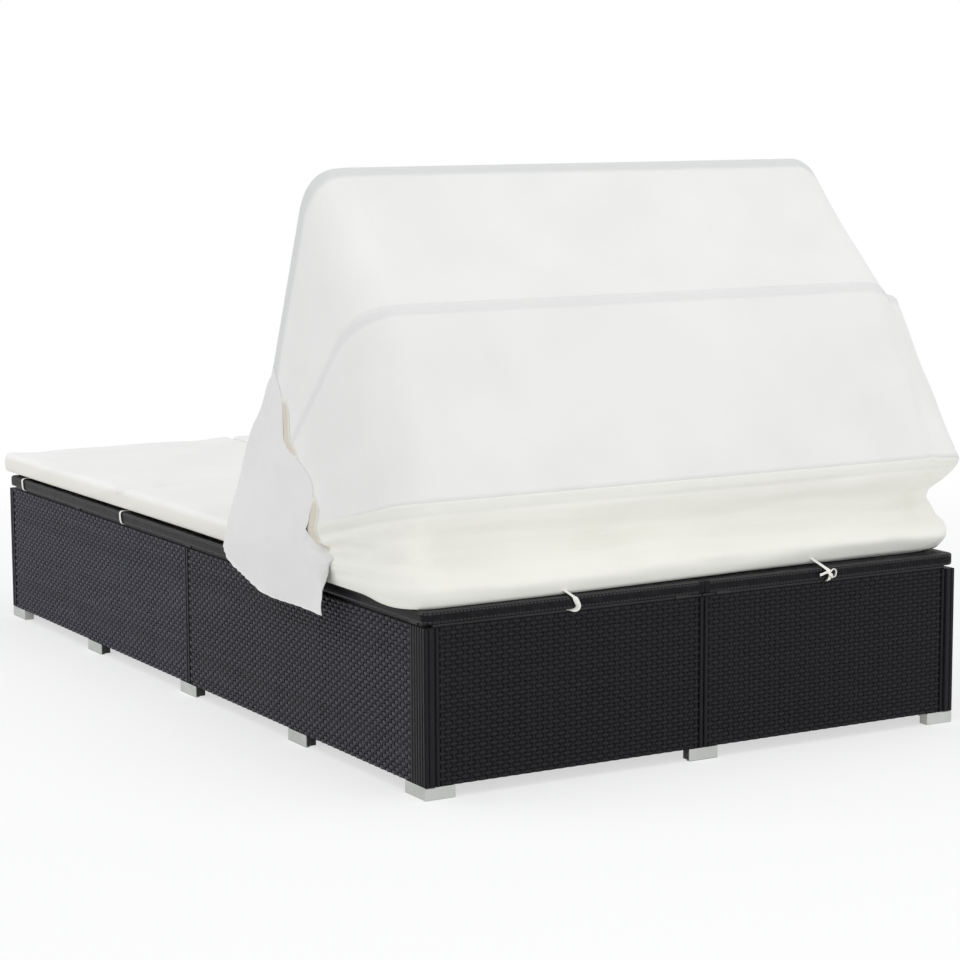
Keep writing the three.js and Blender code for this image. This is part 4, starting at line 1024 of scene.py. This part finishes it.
def make_linings():
    order = list(BODIES)
    for side, sign in SIDES.items():
        for place, (front, rear, crossed) in LININGS.items():
            t = np.linspace(0, 1, 30)
            s = np.linspace(0, 1, 9)[None, :, None]
            yz = spline(front, t)[:, None] * (1 - s) + spline(rear, t)[:, None] * s
            y, z = yz[..., 0] * MM, yz[..., 1] * MM
            cloth, _ = tier_side(y, z, sign)
            rows = np.stack([sign * (cloth + 0.82 * MM), PIVOT[1] + y, PIVOT[2] + z], -1)
            # Towards its rear edge and its ends the patch is paler: a painted glow of light through the cloth.
            pale = smoothstep(s[..., 0], 0.72, 1.0) + 0 * t[:, None]
            pale = np.maximum(pale, 1 - smoothstep(np.minimum(t, 1 - t), 0.0, 0.12)[:, None])
            for half, step in (("high", 1), ("low", 0)):
                lower, upper = order[order.index(crossed) + step - 1:][:2]
                obj = sheet_piece(f"hood_lining_{side}_{place}_{half}", rows, pale, "lining", 0.4 * MM)
                cut_by_angle(obj, BOWS[crossed]["angle"], half == "high")
                bend_between(obj, lower, upper)


make_linings()


# Mattresses
PAD = {"foot": -1.021, "head": 0.946, "outer": 0.5855, "inner": 1.5 * MM, "low": 0.3343, "thick": 46.5 * MM,
       "long": 0.946 + 1.021}
# How far a point may move in the cloth simulation.
CAP = 5 * MM
NOTCH_Y = 0.306 - 0.022 - 0.006
SEAM_Y = 1.021 - 1.357


def pad_outer(y):
    """A mattress's outer edge, which bows in a little and steps in beside the hood's brackets."""
    notch = smoothstep(y, NOTCH_Y - 0.030, NOTCH_Y)
    return PAD["outer"] - notch * 40 * MM - 5 * MM * np.sin(np.pi * np.clip((y - PAD["foot"]) / PAD["long"], 0, 1)) ** 2


def places(mesh):
    co = np.empty(3 * len(mesh.vertices))
    mesh.vertices.foreach_get("co", co)
    return co.reshape(-1, 3)


def puffed(obj, held, sign):
    """Swells a closed cover by a short cloth simulation, in which no point moves further than the cap."""
    before = places(obj.data)
    group = obj.vertex_groups.new(name="held")
    group.add([int(i) for i in np.flatnonzero(held)], 1.0, "REPLACE")
    cloth = modifier(obj, "CLOTH")
    for key, value in (("quality", 6), ("mass", 0.2), ("bending_stiffness", 0.3), ("use_pressure", True),
                       ("uniform_pressure_force", 0.8), ("shrink_min", -0.012), ("vertex_group_mass", group.name)):
        setattr(cloth.settings, key, value)
    cloth.settings.effector_weights.gravity = 0
    cloth.collision_settings.use_collision = False
    for step in range(1, 21):
        bpy.context.scene.frame_set(step)
    graph = bpy.context.evaluated_depsgraph_get()
    moved = places(obj.evaluated_get(graph).data) - before
    obj.modifiers.remove(cloth)
    obj.vertex_groups.clear()
    bpy.context.scene.frame_set(1)
    far = np.linalg.norm(moved, axis=1, keepdims=True)
    after = before + moved * CAP * np.tanh(far / CAP) / np.maximum(far, 1e-9)
    after[:, 2] = np.maximum(after[:, 2], PAD["low"])
    # It stays on its own side of the gap between the two.
    after[:, 0] = sign * np.maximum(0.8 * MM, sign * after[:, 0])
    obj.data.vertices.foreach_set("co", after.ravel())
    obj.data.update()


def mattress(side, sign):
    """A cover as one even mesh: its top with the sewn seam, its underside, and the levels of its sides."""
    crowd = np.array([0, 2.5, 6, 11, 19]) * MM
    u, v = (np.concatenate([crowd / size, np.linspace(30 * MM / size, 1 - 30 * MM / size, count),
                            1 - crowd[::-1] / size])
            for size, count in ((PAD["outer"], 26), (PAD["long"], 96)))
    uu, vv = np.meshgrid(u, v, indexing="ij")
    y = PAD["foot"] + PAD["long"] * vv
    outer = pad_outer(y)
    x = PAD["inner"] + (outer - PAD["inner"]) * uu
    sides = ((x - PAD["inner"], 1), (outer - x, -1))
    ends = ((y - PAD["foot"], 1), (PAD["head"] - y, -1))
    close = np.minimum.reduce([distance for distance, _ in sides + ends])
    rise = np.sqrt(np.clip(1 - np.clip(1 - close / (13 * MM), 0, 1) ** 2.4, 0, 1))
    half = PAD["thick"] * 0.5
    middle = PAD["low"] + half
    crown = 2.2 * MM * np.sin(np.pi * uu) * np.sin(np.pi * vv)
    sunk = 3.4 * MM * np.exp(-((y - SEAM_Y) / (9 * MM)) ** 2) + 1.6 * MM * np.exp(-((y - SEAM_Y) / (30 * MM)) ** 2)
    quilt = 1.0 * MM * ripple(x * 3, y * 2.4, 51) * smoothstep(close, 0, 0.06)
    slack = 3.5 * MM * rise if LIVE_CLOTH else 0
    top = middle + half * (0.55 + 0.45 * rise) - slack + crown + quilt - sunk * smoothstep(close, 0, 0.02)
    bottom = np.maximum(middle - half * (0.78 + 0.22 * rise), PAD["low"])
    # In plan the corners are round.
    plan_x, plan_y = x.copy(), y.copy()
    pull = 20 * MM
    for xs, inward in sides:
        for ys, back in ends:
            ax, ay = np.clip(1 - xs / pull, 0, 1), np.clip(1 - ys / pull, 0, 1)
            r = np.hypot(ax, ay)
            shrink = np.where(r > 1e-6, np.maximum(ax, ay) / np.maximum(r, 1e-6), 1)
            plan_x += inward * pull * ax * (1 - shrink)
            plan_y += back * pull * ay * (1 - shrink)
    n_u, n_v = uu.shape
    grid = n_u * n_v
    points = [np.stack([plan_x, plan_y, z], -1).reshape(-1, 3) for z in (top, bottom)]
    faces = [grid_faces(n_u, n_v), grid_faces(n_u, n_v, flip=True, start=grid)]
    index = rim_of(n_u, n_v)
    a, b = points[0][index], points[1][index]
    way = unit(np.stack([np.gradient(a[:, 1]), -np.gradient(a[:, 0]), 0 * a[:, 0]], 1) + 1e-12)
    way *= np.sign(np.sum(way * (a - a.mean(0)), 1, keepdims=True))
    levels = [index]
    for share in np.arange(1, 6) / 6:
        levels.append(sum(len(part) for part in points) + np.arange(len(index)))
        points.append(a + (b - a) * share + way * 2.2 * MM * math.sin(math.pi * share))
    levels.append(index + grid)
    for upper, lower in zip(levels[:-1], levels[1:]):
        faces.append(np.stack([upper, np.roll(upper, -1), np.roll(lower, -1), lower], -1))
    co = np.concatenate(points) * [sign, 1, 1]
    obj = piece(f"mattress_{side}_cover", co, np.concatenate(faces).tolist(), "mattress", slot="mattress_cloth")
    tidy_normals(obj)
    if LIVE_CLOTH:
        held = np.zeros(len(co), bool)
        held[:grid] = ((close > 0.03) & (np.abs(y - SEAM_Y) < 8 * MM)).ravel()
        held[grid:2 * grid] = (close > 0.03).ravel()
        puffed(obj, held, sign)
    # Below its top edge the cover takes painted shade, so its sides and underside are greyer than its top.
    level = places(obj.data)[:, 2] - PAD["low"]
    float_attribute(obj, "painted_shading", 0.88 * (1 - smoothstep(level, 32 * MM, 43 * MM)))
    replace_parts(obj, f"mattress_{side}")


for side, sign in SIDES.items():
    mattress(side, sign)
